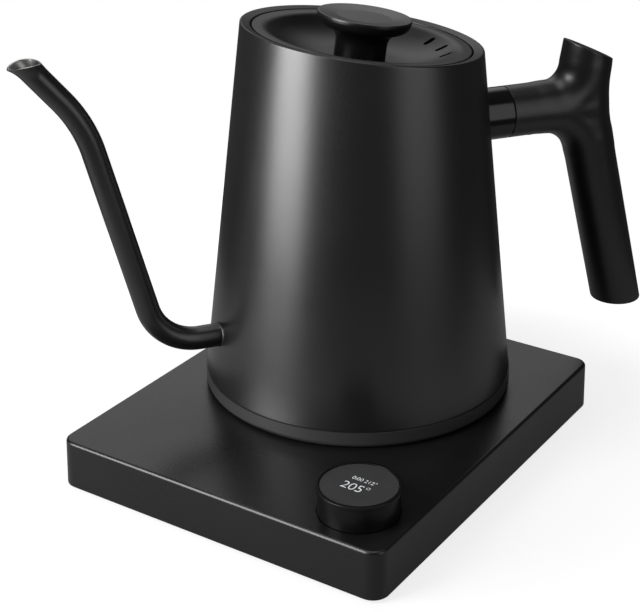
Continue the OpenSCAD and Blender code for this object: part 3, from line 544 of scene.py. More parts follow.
def finish(name, rgb, rough, metal=0.0, grain=900.0, bump=0.04, patch=14.0, vary=0.12, rough_vary=0.06,
           level=0.5, stretch=(1, 1, 1)):
    """Finish with fine grain, soft patches of colour and an uneven gloss."""
    made = _, surface, node, _ = shader(name)
    where = own_place(node)
    laid = node("ShaderNodeMapping", inputs={"Vector": where, "Scale": stretch}).outputs["Vector"]
    cloud, fine = noise(node, where, patch, 3.0), noise(node, laid, grain, 2.0)
    tint = tones(node, spread(node, cloud, 0.0, 1.0), rgb, 1 - vary, 1 + vary)
    gloss = spread(node, combined(node, cloud, fine), rough - rough_vary, rough + rough_vary, 0.6, 1.4)
    surface.inputs["Metallic"].default_value = metal
    surface.inputs["Specular IOR Level"].default_value = level
    return dress(made, tint, gloss, fine, bump)


def circuit(name, rgb):
    """Board with tracks: cells whose borders show as lighter copper under the mask."""
    made = _, _, node, _ = shader(name)
    cells = node("ShaderNodeTexVoronoi", feature="DISTANCE_TO_EDGE", inputs={
        "Vector": own_place(node), "Scale": 260.0})
    line = spread(node, cells.outputs["Distance"], 1.0, 0.0, 0.02, 0.07)
    return dress(made, tones(node, line, rgb, 1.0, 1.9), spread(node, line, 0.42, 0.3, 0.0, 1.0), line, 0.3)


def lit_figure(name, rgb, glow):
    """Figures of a display: pale, a little uneven, with a weak light of their own."""
    made = _, surface, node, link = shader(name)
    dots = noise(node, own_place(node), 3000.0, 1.0)
    tint = tones(node, spread(node, dots, 0.0, 1.0), rgb, 0.9, 1.05)
    link(tint, surface.inputs["Emission Color"])
    surface.inputs["Emission Strength"].default_value = glow
    return dress(made, tint, spread(node, dots, 0.25, 0.4), dots, 0.05)


FINISHES = {}


def make_finishes():
    look = sizes("look")
    coat, base, grip, steel = (tuple(c) for c in (look.coat, look.base, look.grip, look.steel))
    rows = [
        ("base_satin", "base coat", base, 0.30, dict(grain=1500, bump=0.08, level=0.45, vary=0.06)),
        ("black_plastic", "black plastic", (0.02, 0.02, 0.021), 0.5, dict(grain=1200, bump=0.12)),
        ("connector_plastic", "connector plastic", (0.028, 0.028, 0.03), 0.32, dict(grain=700, bump=0.05)),
        ("rubber_black", "foot rubber", (0.018, 0.018, 0.018), 0.78, dict(grain=1800, bump=0.2)),
        ("silicone", "silicone", (0.36, 0.36, 0.36), 0.55, dict(grain=500, bump=0.05, level=0.4)),
        ("screw_steel", "screw steel", steel, 0.30, dict(metal=1, grain=2200, bump=0.06, stretch=(1, 1, 8))),
        ("contact_brass", "contact brass", (0.62, 0.44, 0.20), 0.28, dict(metal=1, grain=1500, bump=0.05)),
        ("relay_blue", "relay case", (0.03, 0.10, 0.30), 0.38, dict(grain=600, bump=0.05)),
        ("transformer_yellow", "transformer tape", (0.62, 0.42, 0.06), 0.42,
         dict(grain=400, bump=0.1, stretch=(1, 1, 6))),
        ("lead_red", "lead insulation", (0.30, 0.03, 0.025), 0.45, dict(grain=900, bump=0.06)),
        ("ribbon_grey", "ribbon cable", (0.38, 0.38, 0.39), 0.5,
         dict(grain=260, bump=0.3, stretch=(0.05, 6, 1))),
        ("dial_black", "dial coat", (0.0036, 0.0036, 0.0037), 0.30, dict(grain=1500, bump=0.06, level=0.2)),
        ("magnet_grey", "magnet", (0.10, 0.10, 0.105), 0.55, dict(metal=0.6, grain=800, bump=0.1)),
        ("display_glass", "display glass", (0.040, 0.040, 0.0405), 0.24,
         dict(grain=60, bump=0.01, level=0.5, rough_vary=0.03, patch=40)),
        ("body_coat", "body coat", coat, 0.34, dict(grain=1700, bump=0.08, level=0.8, vary=0.05)),
        ("bare_steel", "brushed steel", steel, 0.32, dict(metal=1, grain=700, bump=0.02, stretch=(1, 1, 14))),
        ("plate_aluminium", "plate aluminium", (0.68, 0.68, 0.69), 0.42, dict(metal=1, grain=700, bump=0.1)),
        ("element_metal", "element sheath", (0.30, 0.27, 0.24), 0.5,
         dict(metal=1, grain=500, bump=0.12, vary=0.25)),
        ("ferrule_gloss", "ferrule gloss", (0.006, 0.006, 0.0065), 0.16,
         dict(grain=500, bump=0.02, level=0.4, rough_vary=0.03)),
        ("grip_matte", "grip coat", grip, 0.38, dict(grain=1900, bump=0.12, level=0.6, vary=0.06)),
        ("lid_satin", "lid coat", (0.0045, 0.0045, 0.0046), 0.32,
         dict(grain=1700, bump=0.06, level=0.2, vary=0.05)),
        ("bore_steel", "bore steel", (0.34, 0.34, 0.335), 0.36,
         dict(metal=1, grain=300, bump=0.008, vary=0.05, rough_vary=0.02)),
        ("cap_satin", "cap coat", (0.0070, 0.0070, 0.0071), 0.34,
         dict(grain=1700, bump=0.06, level=0.6, vary=0.05)),
    ]
    for slot, name, rgb, rough, more in rows:
        FINISHES[slot] = finish(name, rgb, rough, **more)
    FINISHES["circuit_board"] = circuit("circuit board", (0.012, 0.075, 0.032))
    FINISHES["figures"] = lit_figure("display figures", (0.62, 0.64, 0.66), 0.28)


# Base


def rounded_rectangle(half_w, half_d, corner, z, steps=10, hold=0.6):
    """Points of a rounded rectangle, with points that hold the ends of its corner arcs."""
    points = []
    for turn, (sx, sy) in enumerate(((1, 1), (-1, 1), (-1, -1), (1, -1))):
        cx, cy = sx * (half_w - corner), sy * (half_d - corner)
        first = turn * math.pi / 2
        ends = []
        for k in range(steps + 1):
            a = first + math.pi / 2 * k / steps
            ends.append(Vector((cx + corner * math.cos(a), cy + corner * math.sin(a), z)))
        before = Vector((math.sin(first), -math.cos(first), 0)) * hold
        after = Vector((-math.cos(first), -math.sin(first), 0)) * hold
        points += [ends[0] + before, *ends, ends[-1] + after]
    return points


def base_outline(s):
    """(inset from the top face's edge, height) of the cover's side, from the bottom up."""
    low, top = s.foot_gap, BASE_TOP / MM
    side = lambda z: -s.lean * (top - z) / (top - low)
    outline = [(side(low) + 0.4, low), (side(low) + 0.12, low + 0.12), (side(low + 0.4), low + 0.4)]
    outline.append((side(low + 0.9), low + 0.9))
    corner, start = Vector((0, top)), Vector((side(top - s.edge), top - s.edge))
    outline.append((side(top - s.edge - 0.5), top - s.edge - 0.5))
    outline += [(p.x, p.y) for p in fillet(start * 2 - corner, corner, (s.edge * 2, top), s.edge, 7)]
    outline.append((s.edge + 0.5, top))
    return outline


def make_base():
    s = in_mm("base")
    rings = []
    for inset, z in base_outline(s):
        half_w, half_d = s.width / 2 - inset, s.depth / 2 - inset
        rings.append(rounded_rectangle(half_w, half_d, max(s.corner - inset, 1), z))
    everywhere = Matrix.Identity(4)
    shell = skin(rings, place=everywhere)
    top = BASE_TOP / MM
    half_w, half_d = s.width / 2 - s.wall, s.depth / 2 - s.wall
    cavity = skin([rounded_rectangle(half_w, half_d, s.corner - s.wall, z) for z in (-1, top - s.wall)],
                  place=everywhere)
    kettle_flat = Matrix.Translation((KETTLE_AT.x, KETTLE_AT.y, 0))
    gland_low, gland_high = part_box("cord_gland")
    gland = axes((gland_low + gland_high) / 2, (0, 1, 0), (1, 0, 0))
    mesh = cut_with(
        shell, cavity,
        disc(s.connector_hole, top - CUT, top + CUT, kettle_flat),
        disc(s.dial_recess, top - s.dial_recess_depth, top + CUT, DIAL, AROUND),
        disc(s.dial_hole, top - CUT, top + CUT, DIAL),
        disc(s.gland_hole, -20, 20, gland))
    piece("base_shell", mesh, "base", "base_satin", ["base_cover"], 25)

    tree = copies_tree()
    fx, fy = s.width / 2 - s.foot_inset, s.depth / 2 - s.foot_inset
    low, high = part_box("base_feet")
    height = (high.z - low.z) / MM
    foot = turned_solid(rounded_half([
        (0, 0, 0), (s.foot - 0.5, 0, 0.5), (s.foot, height, 0.2), (0, height, 0)]), SCALE_UP, 64)
    groove = lathe([(3.6, -0.2), (4.4, -0.2), (4.4, 0.35), (3.6, 0.35)], SCALE_UP, 64)
    spots = [(sx * fx, sy * fy, low.z / MM) for sx in (-1, 1) for sy in (-1, 1)]
    feet = copies(tree, cut_with(foot, groove), spots, math.radians(45), "rubber_black", everywhere)
    piece("rubber_feet", feet, "base", "rubber_black", ["base_feet"])

    sx, sy = s.width / 2 - s.screw_inset, s.depth / 2 - s.screw_setback
    spots = [(a * sx, b * sy) for a in (-1, 1) for b in (-1, 1)]
    screws("cover_screws", "base_screws", "base", spots, 37, tree, everywhere)
    ways = [math.radians(a) for a in (30, 150, 270)]
    spots = [(s.ring_screws * math.cos(a), s.ring_screws * math.sin(a)) for a in ways]
    screws("ring_screws", "foot_screws", "kettle", spots, 52, tree, KETTLE)


def screws(name, node, body, spots, turn, tree, place):
    """Crosshead screws at spots of place, between the heights of a CAD node."""
    low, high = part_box(node)
    screw = crosshead_screw(SCREW_HEAD_R, SCREW_HEAD_H, SCREW_R, (high.z - low.z) / MM)
    points = [(x, y, (low.z - place.translation.z) / MM) for x, y in spots]
    mesh = copies(tree, screw, points, math.radians(turn), "screw_steel", place)
    piece(name, mesh, body, "screw_steel", [node])


SCALE_UP = Matrix.Scale(1 / MM, 4)


def rounded_half(corners, steps=4):
    """Outline from the axis back to the axis, its corners rounded."""
    points = [Vector(corners[0][:2])]
    for i in range(1, len(corners) - 1):
        x, z, radius = corners[i]
        points += fillet(corners[i - 1][:2], (x, z), corners[i + 1][:2], radius, steps)
    points.append(Vector(corners[-1][:2]))
    return points


def crosshead_screw(head_r, head_h, shank_r, length):
    """Screw that points up, with its head below and a cross in it."""
    outline = rounded_half([(0, 0, 0), (head_r, 0, 0.7), (head_r, head_h, 0.15), (0, head_h, 0)])
    head = turned_solid(outline, SCALE_UP, 48)
    arms = [block((-x, -y, -1), (x, y, 0.9), SCALE_UP) for x, y in ((1.7, 0.35), (0.35, 1.7))]
    made = bmesh.new()
    made.from_mesh(cut_with(head, *arms))
    low = head_h - 0.01
    shank = [(0, low), (shank_r, low), (shank_r, length - 1), (shank_r * 0.5, length), (0, length)]
    made.from_mesh(turned_solid(shank, SCALE_UP, 32))
    return mesh_of(made)


# Dial


def make_dial():
    s = in_mm("dial")
    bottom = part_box("dial_ring")[0].z / MM
    top = BASE_TOP / MM + s.top
    pocket = s.lip_radius - s.rim
    glass_low, glass_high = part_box("display_glass")
    ledge = glass_low.z / MM - 1.3
    magnet_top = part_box("magnet_ring")[1].z / MM
    outline = rounded([
        (s.wall_radius, bottom, 0.2), (s.wall_radius, top - s.lip_height, 0.25),
        (s.lip_radius, top - s.lip_height, 0.2), (s.lip_radius, top, 0.35), (pocket, top, 0.15),
        (pocket, ledge, 0), (s.bore, ledge, 0), (s.bore, bottom, 0), (s.magnet_in, bottom, 0),
        (s.magnet_in, magnet_top, 0), (s.magnet_out, magnet_top, 0), (s.magnet_out, bottom, 0)],
        steps=5, hold=0.12)
    piece("dial_shell", lathe(outline, DIAL), "dial", "dial_black", ["dial_ring"], 30)
    figure("display_large", s.digits, 7.0, (-0.2, -2.7), glass_high.z, 0.10)
    figure("display_small", s.small_digits, 3.1, (0.4, 3.5), glass_high.z, 0.03)


def figure(name, words, height, middle, z, thinner):
    """Figures as a thin mesh on the display, centred on a point of the dial, thinner by a width."""
    text = bpy.data.curves.new(name, "FONT")
    text.body = words
    text.align_x = text.align_y = "CENTER"
    text.size = height * MM
    text.extrude = 0.02 * MM
    text.offset = -thinner * MM
    text.space_character = 0.94
    text.resolution_u = 6
    made = bmesh.new()
    made.from_mesh(baked(in_scene(name, text)))
    bmesh.ops.remove_doubles(made, verts=made.verts, dist=1e-7)
    bmesh.ops.recalc_face_normals(made, faces=made.faces)
    mesh = mesh_of(made)
    place = DIAL_AT.x + middle[0] * MM, DIAL_AT.y + middle[1] * MM, z + 0.01 * MM
    mesh.transform(Matrix.Translation(place))
    piece(name, mesh, "dial_carrier", "display_glass", look="figures")


# Kettle body


def body_radius(s, z):
    slope = (s.bottom_radius - s.top_radius) / (s.rim - s.seam)
    return s.bottom_radius - slope * (z - s.seam)


def lid_point(radius, turn, height):
    """Point given in the lid's frame, in the kettle's frame, in millimetres."""
    return LID_IN_KETTLE.to_3x3() @ Vector((radius * math.cos(turn), radius * math.sin(turn), height)) \
        + LID_IN_KETTLE.translation / MM


def rim_ring(s, depth, inset=0.0):
    """Ring where the body's cone, made smaller by inset, meets a plane at a depth below the rim."""
    normal = LID_IN_KETTLE.to_3x3() @ Vector((0, 0, 1))
    reach = normal.z * s.rim - depth
    slope = (s.bottom_radius - s.top_radius) / (s.rim - s.seam)
    ring = []
    for i in range(AROUND):
        c, d = math.cos(TURN * i / AROUND), math.sin(TURN * i / AROUND)
        start = s.bottom_radius + slope * s.seam - inset
        z = (reach - start * c * normal.x) / (normal.z - slope * c * normal.x)
        r = start - slope * z
        ring.append(Vector((r * c, r * d, z)))
    return ring


def towards(ring, other, step):
    return [p + (q - p).normalized() * step for p, q in zip(ring, other)]


def make_body():
    s = in_mm("body")
    circle = lambda radius, height: [lid_point(radius, TURN * i / AROUND, height) for i in range(AROUND)]
    mouth = circle(s.mouth, -s.bevel_drop)
    corner = rim_ring(s, 0)
    inner = towards(corner, circle(s.mouth, 0), s.land)
    below = rim_ring(s, s.edge)
    after = towards(corner, inner, s.edge)
    bottom = body_radius(s, s.seam)
    low_edge = ((s.wall, 0), (0.35, 0), (0.1, 0.1))
    rings = [ring_of(bottom - inwards, s.seam + rise) for inwards, rise in low_edge]
    rings += [ring_of(body_radius(s, s.seam + rise), s.seam + rise) for rise in (0.35, 0.8, 30, 60, 90)]
    rings += [rim_ring(s, s.edge + 0.4)]
    rings += [list(r) for r in zip(*[bezier(a, b, c, 5) for a, b, c in zip(below, corner, after)])]
    rings += [towards(inner, corner, 0.12), inner, towards(inner, mouth, 0.12)]
    start, turned = towards(mouth, inner, 0.4), circle(s.mouth, -s.bevel_drop - 0.4)
    rings += [towards(mouth, inner, 0.8)]
    rings += [list(r) for r in zip(*[bezier(a, b, c, 4) for a, b, c in zip(start, mouth, turned)])]
    rings += [circle(s.mouth, -s.bevel_drop - 0.8), circle(s.mouth, -s.neck + 0.2),
              circle(s.mouth + 0.2, -s.neck), circle(s.mouth + s.neck_wall, -s.neck)]
    rings += [circle(s.mouth + s.neck_wall, -1.4), rim_ring(s, 1.4, s.wall)]
    mesh = skin(rings, loop=True, place=KETTLE)
    spout = in_mm("spout")
    hole = axes(KETTLE @ Vector((0, 0, spout.root * MM)), KETTLE.to_3x3() @ Vector((-1, 0, 0)), (0, 0, 1))
    mesh = cut_with(mesh, disc(spout.radius - 0.05, 40, 90, hole))
    up = LID.to_3x3() @ Vector((0, 0, 1))
    rim = [face.index for face in mesh.polygons if face.normal.dot(up) > 0.75]
    piece("body_shell", mesh, "kettle", "body_coat", ["kettle_body", "rim_collar"], 32)
    paint(mesh, rim, "lid_satin")


# Spout


def spout_path(s, body):
    """Stations of the spout's axis, from the body on: (point in the XZ plane, heading)."""
    start = -body_radius(body, s.root)
    turn_1, turn_2 = math.pi - s.rise, math.pi - s.end_rise
    step = lambda p, heading, run: (p[0] + run * math.cos(heading), p[1] + run * math.sin(heading))
    path = [((start - s.root_length * k / ROOT_STEPS, s.root), math.pi) for k in range(ROOT_STEPS + 1)]
    x, z = start - s.root_length, s.root + s.bend_low
    for k in range(1, LOW_BEND_STEPS + 1):
        turn = math.pi + (turn_1 - math.pi) * k / LOW_BEND_STEPS
        path.append(((x - s.bend_low * math.sin(turn), z + s.bend_low * math.cos(turn)), turn))
    last = path[-1][0]
    path += [(step(last, turn_1, s.straight * k / STRAIGHT_STEPS), turn_1)
             for k in range(1, STRAIGHT_STEPS + 1)]
    centre = step(path[-1][0], turn_1 + math.pi / 2, s.bend_high)
    for k in range(1, HIGH_BEND_STEPS + 1):
        turn = turn_1 + (turn_2 - turn_1) * k / HIGH_BEND_STEPS
        path.append((step(centre, turn - math.pi / 2, s.bend_high), turn))
    last = path[-1][0]
    path += [(step(last, turn_2, s.end * k / END_STEPS), turn_2) for k in range(1, END_STEPS + 1)]
    return path


def axis_ring(point, heading, radius, steps=SPOUT_AROUND):
    """Round ring about a point of an axis in the XZ plane, square to the axis."""
    under = Vector((-math.sin(heading), 0, math.cos(heading)))
    return [Vector((point[0], 0, point[1])) + under * (radius * math.cos(TURN * i / steps))
            + Vector((0, radius * math.sin(TURN * i / steps), 0)) for i in range(steps)]


def mouth_ring(s, point, heading, radius, level, flare, steps=SPOUT_AROUND):
    """Ring near the mouth. level brings it to the mouth's plane, flare opens it to the mouth's shape."""
    ahead = Vector((math.cos(heading), 0, math.sin(heading)))
    under = Vector((-math.sin(heading), 0, math.cos(heading)))
    slope = math.tan(s.mouth_slope)
    wider = s.mouth - (s.radius - s.taper)
    ring = []
    for i in range(steps):
        c, d = math.cos(TURN * i / steps), math.sin(TURN * i / steps)
        r = radius + flare * (wider + s.beak * c + s.sides * d * d)
        offset = under * (r * c) + Vector((0, r * d, 0))
        slide = (slope * offset.x - offset.z) / (ahead.z - slope * ahead.x) * level
        rise = flare * (s.raised * d * d - s.dip * max(c, 0) ** 2)
        ring.append(Vector((point[0], 0, point[1] + rise)) + offset + ahead * slide)
    return ring


def spout_radius(s, run):
    """Outer radius at a distance from the mouth."""
    bent = s.bend_high * (s.rise - s.end_rise)
    left = 1 - min(max((run - s.end) / (bent + s.straight), 0), 1)
    return s.radius - s.taper * left * left


def make_spout():
    s, body = in_mm("spout"), in_mm("body")
    path = spout_path(s, body)
    runs = [0.0]
    for (a, _), (b, _) in zip(path[::-1], path[-2::-1]):
        runs.append(runs[-1] + math.dist(a, b))
    steps = SPOUT_AROUND
    outer, inner = [], []
    for (point, heading), run in zip(path, runs[::-1]):
        near = max(0.0, 1 - run / s.end)
        level = near * near * (3 - 2 * near)
        flare = max(0.0, 1 - run / s.flare) ** 2
        r = spout_radius(s, run)
        outer.append(mouth_ring(s, point, heading, r, level, flare, steps))
        inner.append(mouth_ring(s, point, heading, r - s.wall, level, flare, steps))
    root = body_radius(body, s.root)
    keep = [ring for ring, (point, _) in zip(outer, path) if point[0] < -(root + s.fillet + 0.6)]
    buried = lambda ring, x: [Vector((x, p.y, p.z)) for p in ring]
    deep = -(root - body.wall - 0.1)
    lip = spout_lip(outer[-1], inner[-1])
    outside = [buried(inner[0], deep), buried(outer[0], deep), buried(outer[0], -(root - 0.5)),
               *spout_fillet(s, body, steps), *keep, *lip]
    mesh = skin(outside + inner[::-1], loop=True, place=KETTLE, second_from=len(outside) - len(lip))
    bore = [face.index for face in mesh.polygons if face.material_index]
    piece("spout", mesh, "kettle", "body_coat", ["spout_tube"], 40)
    paint(mesh, bore, "bore_steel")


def spout_fillet(s, body, steps):
    """Rings that open out from the tube on to the body's cone."""
    rings = []
    for k in range(9):
        a = math.pi / 2 * k / 8
        r = s.radius + s.fillet * (1 - math.sin(a))
        ring = []
        for i in range(steps):
            turn = TURN * i / steps
            y, z = r * math.sin(turn), s.root - r * math.cos(turn)
            wall = math.sqrt(max(body_radius(body, z) ** 2 - y * y, 0))
            ring.append(Vector((-(wall - 0.12 * (1 - k / 8)) - s.fillet * (1 - math.cos(a)), y, z)))
        rings.append(ring)
    return rings


def spout_lip(outer, inner):
    """Rings that round the mouth's edge from the outer skin to the inner one."""
    rings = []
    for u in (0.15, 0.5, 0.85):
        rise = 0.25 * math.sin(u * math.pi)
        rings.append([a.lerp(b, u) + Vector((0, 0, rise)) for a, b in zip(outer, inner)])
    return rings


# Handle


def sdf_rod(p, a, b, r):
    run = b - a
    t = np.clip(((p - a) @ run) / (run @ run), 0, 1)
    return np.linalg.norm(p - a - t[:, None] * run, axis=1) - r


def sdf_bend(p, centre, bend_r, first, last, r):
    """Distance to a bent round rod in the XZ plane."""
    x, z = p[:, 0] - centre[0], p[:, 2] - centre[1]
    middle, half = (first + last) / 2, abs(last - first) / 2
    a = np.arctan2(z, x) - middle
    a = (a + math.pi) % TURN - math.pi
    a = np.clip(a, -half, half) + middle
    near = np.stack([centre[0] + bend_r * np.cos(a), np.zeros(len(p)), centre[1] + bend_r * np.sin(a)], 1)
    return np.linalg.norm(p - near, axis=1) - r


def soft_min(values, k):
    return -k * np.log(sum(np.exp(-v / k) for v in values))


class GripShape:
    """The grip's rods and bends, as a distance and as rough solids to start from."""

    def __init__(self, s, body):
        self.s = s
        r, arm, bend = s.radius, s.arm, s.grip_bend
        self.arm_x = body_radius(body, arm) + s.ferrule
        centre = (s.grip + bend, arm + s.upright)
        self.down = (math.sin(s.lean), -math.cos(s.lean))
        start = (centre[0] - bend * math.cos(s.lean), centre[1] - bend * math.sin(s.lean))
        run = (start[1] - s.bottom) / math.cos(s.lean) + r
        end = (start[0] + run * self.down[0], start[1] + run * self.down[1])
        top_z = arm + s.top
        self.top_lean = math.asin((top_z - centre[1]) / bend)
        self.top = (centre[0] - bend * math.cos(self.top_lean), 0, top_z)
        over_lean = math.asin((top_z + r - centre[1]) / bend)
        up_z, reach = arm + s.bend_up, bend + s.bend_up
        up_x = centre[0] - math.sqrt(reach ** 2 - (up_z - centre[1]) ** 2)
        up_last = math.asin((centre[1] - up_z) / reach)
        down_z = arm - s.bend_down
        down_x = start[0] + ((start[1] - down_z) * math.sin(s.lean) - s.bend_down) / math.cos(s.lean)
        self.rods = [(start, end), ((self.arm_x - 8, arm), (s.grip, arm))]
        self.bends = [
            (centre, bend, math.pi - over_lean, math.pi + s.lean, r),
            ((up_x, up_z), s.bend_up, -math.pi / 2, up_last, r),
            ((down_x, down_z), s.bend_down, s.lean, math.pi / 2, r)]

    def distance(self, p):
        values = [sdf_rod(p, np.array([a[0], 0, a[1]]), np.array([b[0], 0, b[1]]), self.s.radius)
                  for a, b in self.rods]
        values += [sdf_bend(p, *bend) for bend in self.bends]
        return soft_min(values, GRIP_BLEND)

    def project(self, p, rounds=5):
        """Brings points on to the surface along the distance's slope."""
        e = 0.02
        for _ in range(rounds):
            d = self.distance(p)
            slope = np.stack([self.distance(p + np.eye(3)[i] * e) - self.distance(p - np.eye(3)[i] * e)
                              for i in range(3)], 1) / (2 * e)
            p = p - slope * (d / np.maximum((slope ** 2).sum(1), 1e-6))[:, None]
        return p

    def rough(self):
        made = bmesh.new()
        steps = 32
        paths = [[a, b] for a, b in self.rods]
        for centre, bend_r, first, last, _ in self.bends:
            turns = [first + (last - first) * k / 12 for k in range(13)]
            x, z = centre
            paths.append([(x + bend_r * math.cos(a), z + bend_r * math.sin(a)) for a in turns])
        for path in paths:
            rings = []
            for k, point in enumerate(path):
                before, after = path[max(k - 1, 0)], path[min(k + 1, len(path) - 1)]
                heading = math.atan2(after[1] - before[1], after[0] - before[0])
                rings.append(axis_ring(point, heading, self.s.radius, steps))
            made.from_mesh(skin(rings, place=SCALE_UP))
        return mesh_of(made)


def remesh(mesh, voxel):
    holder = in_scene("rough", mesh)
    step = holder.modifiers.new("voxels", "REMESH")
    step.mode = "VOXEL"
    step.voxel_size = voxel
    return baked(holder)


def close_end(made, plane_at, normal, side, edge, steps=5):
    """Cuts a mesh at a plane and closes it with a flat face and a rounded edge."""
    normal, side = Vector(normal).normalized(), Vector(side).normalized()
    early = Vector(plane_at) - normal * edge * 1.4
    bmesh.ops.bisect_plane(made, geom=made.verts[:] + made.edges[:] + made.faces[:], dist=1e-4,
                           plane_co=early, plane_no=normal, clear_outer=True)
    rim = [e for e in made.edges if e.is_boundary and abs((e.verts[0].co - early).dot(normal)) < 0.01]
    ring = list({v for e in rim for v in e.verts})
    middle = sum((v.co for v in ring), Vector()) / len(ring)
    shapes = {}
    for v in ring:
        gap = (Vector(plane_at) - v.co).dot(normal)
        corner = v.co + side * (gap / side.dot(normal))
        inwards = middle + side * (gap / side.dot(normal)) - corner
        inwards -= normal * inwards.dot(normal)
        inwards.normalize()
        hold = v.co + (corner - v.co) * 0.25
        shapes[v] = [hold] + bezier(v.co.lerp(corner, 0.3), corner, corner + inwards * edge, steps)
        shapes[v].append(corner + inwards * (edge + 0.35))
    before = {v: v for v in ring}
    for k in range(steps + 3):
        now = {v: made.verts.new(shapes[v][k]) for v in ring}
        for e in rim:
            a, b = e.verts
            made.faces.new((before[a], before[b], now[b], now[a]))
        before = now
    last = [made.edges.get((before[e.verts[0]], before[e.verts[1]])) for e in rim]
    bmesh.ops.edgeloop_fill(made, edges=last)


def make_handle():
    s, body = in_mm("handle"), in_mm("body")
    shape = GripShape(s, body)
    rough = remesh(shape.rough(), GRIP_VOXEL)
    points = np.empty(len(rough.vertices) * 3)
    rough.vertices.foreach_get("co", points)
    points = shape.project(points.reshape(-1, 3))
    rough.vertices.foreach_set("co", points.ravel())
    made = bmesh.new()
    made.from_mesh(rough)
    for _ in range(2):
        bmesh.ops.smooth_vert(
            made, verts=made.verts, factor=0.5, use_axis_x=True, use_axis_y=True, use_axis_z=True)
    points = shape.project(np.array([v.co[:] for v in made.verts]))
    for v, p in zip(made.verts, points):
        v.co = p
    along = (math.sin(shape.top_lean), 0, math.cos(shape.top_lean))
    close_end(made, shape.top, (math.sin(s.top_slope), 0, math.cos(s.top_slope)), along, s.edge)
    low = (0, 0, s.bottom)
    close_end(made, low, (0, 0, -1), (shape.down[0], 0, shape.down[1]), s.edge)
    close_end(made, (shape.arm_x + 0.15, 0, 0), (-1, 0, 0), (-1, 0, 0), 0.3, 3)
    mesh = finish_mesh(made, KETTLE)
    screw_at = Vector((shape.arm_x + s.screw, 0, s.arm - s.radius)) * MM
    drill = axes(KETTLE @ screw_at, (0, 0, -1), (1, 0, 0))
    mesh = cut_with(mesh, disc(s.screw_hole, -2.4, 6, drill, 48))
    piece("grip", mesh, "kettle", "grip_matte", ["handle_grip"], 40)

    turns = [TURN * i / 128 for i in range(128)]
    rings = []
    for back, drop in ((0.55, 0.0), (0.25, 0.0), (0.08, 0.08), (0.0, 0.25)):
        r = s.radius - drop
        rings.append([Vector((shape.arm_x - back, r * math.sin(a), s.arm + r * math.cos(a))) for a in turns])
    root = []
    for a in turns:
        y, z = s.radius * math.sin(a), s.arm + s.radius * math.cos(a)
        root.append(Vector((math.sqrt(body_radius(body, z) ** 2 - y * y) - 0.2, y, z)))
    part = s.bore / s.radius
    bore = [[Vector((p.x, p.y * part, s.arm + (p.z - s.arm) * part)) for p in ring]
            for ring in (rings[-1], root)]
    mesh = skin([root, *rings, *bore], loop=True, place=KETTLE)
    piece("ferrule", mesh, "kettle", "ferrule_gloss", ["handle_ferrule"], 50)


# Lid


def lid_profile(s):
    """Outline of the lid's shell: lip, dish and skirt."""
    edge_r = s.radius - s.lip
    rise = s.dish - s.drop
    bend = ((edge_r - s.flat) ** 2 + rise ** 2) / (2 * rise)
    centre = Vector((s.flat, bend - s.dish))
    last = math.asin((edge_r - s.flat) / bend)
    turned = lambda r, a: centre + Vector((r * math.sin(a), -r * math.cos(a)))
    arc = [turned(bend, last * k / 24) for k in range(25)]
    under = [turned(bend + s.thickness, last * k / 24) for k in range(22)]
    outside = [(s.radius, -s.skirt_bottom, 0.3), (s.radius, -s.drop, 0.4), (edge_r, -s.drop, 0)]
    lip = rounded(outside, 4, 0.2)
    outline = [Vector((s.hole, -s.dish))] + arc[:-5]
    outline += fillet(arc[-6], (edge_r, -s.drop), (s.radius - 0.6, -s.drop), s.lip_edge, 10)
    outline += lip[:-1][::-1]
    inside = s.radius - s.skirt
    outline += [Vector((inside, -s.skirt_bottom)), Vector((inside, under[-1].y - 0.1))]
    outline += under[::-1] + [Vector((s.hole, -s.dish - s.thickness))]
    return outline


def knob_profile(s):
    """Outline of the knob from the axis at its foot to the axis at its top."""
    both = (s.knob - s.neck) / (1 - math.cos(s.knob_turn))
    foot = both - s.knob_bowl
    top = s.knob_top - s.cap
    low = top - both * math.sin(s.knob_turn)
    points = [Vector((s.hole, -s.dish)), Vector((s.neck, -s.dish)), Vector((s.neck, -s.dish + 0.4))]
    for k in range(17):
        a = s.knob_turn * k / 16
        points.append(Vector((s.neck + foot * (1 - math.cos(a)), low + foot * math.sin(a))))
    for k in range(15, 0, -1):
        a = s.knob_turn * k / 16
        points.append(Vector((s.knob - s.knob_bowl * (1 - math.cos(a)), top - s.knob_bowl * math.sin(a))))
    points += [Vector((s.knob, top - 0.22)), Vector((s.knob - 0.06, top - 0.06)),
               Vector((s.knob - 0.22, top)), Vector((s.plug, top)), Vector((s.plug, top - 1.5)),
               Vector((s.hole, top - 1.5))]
    return points


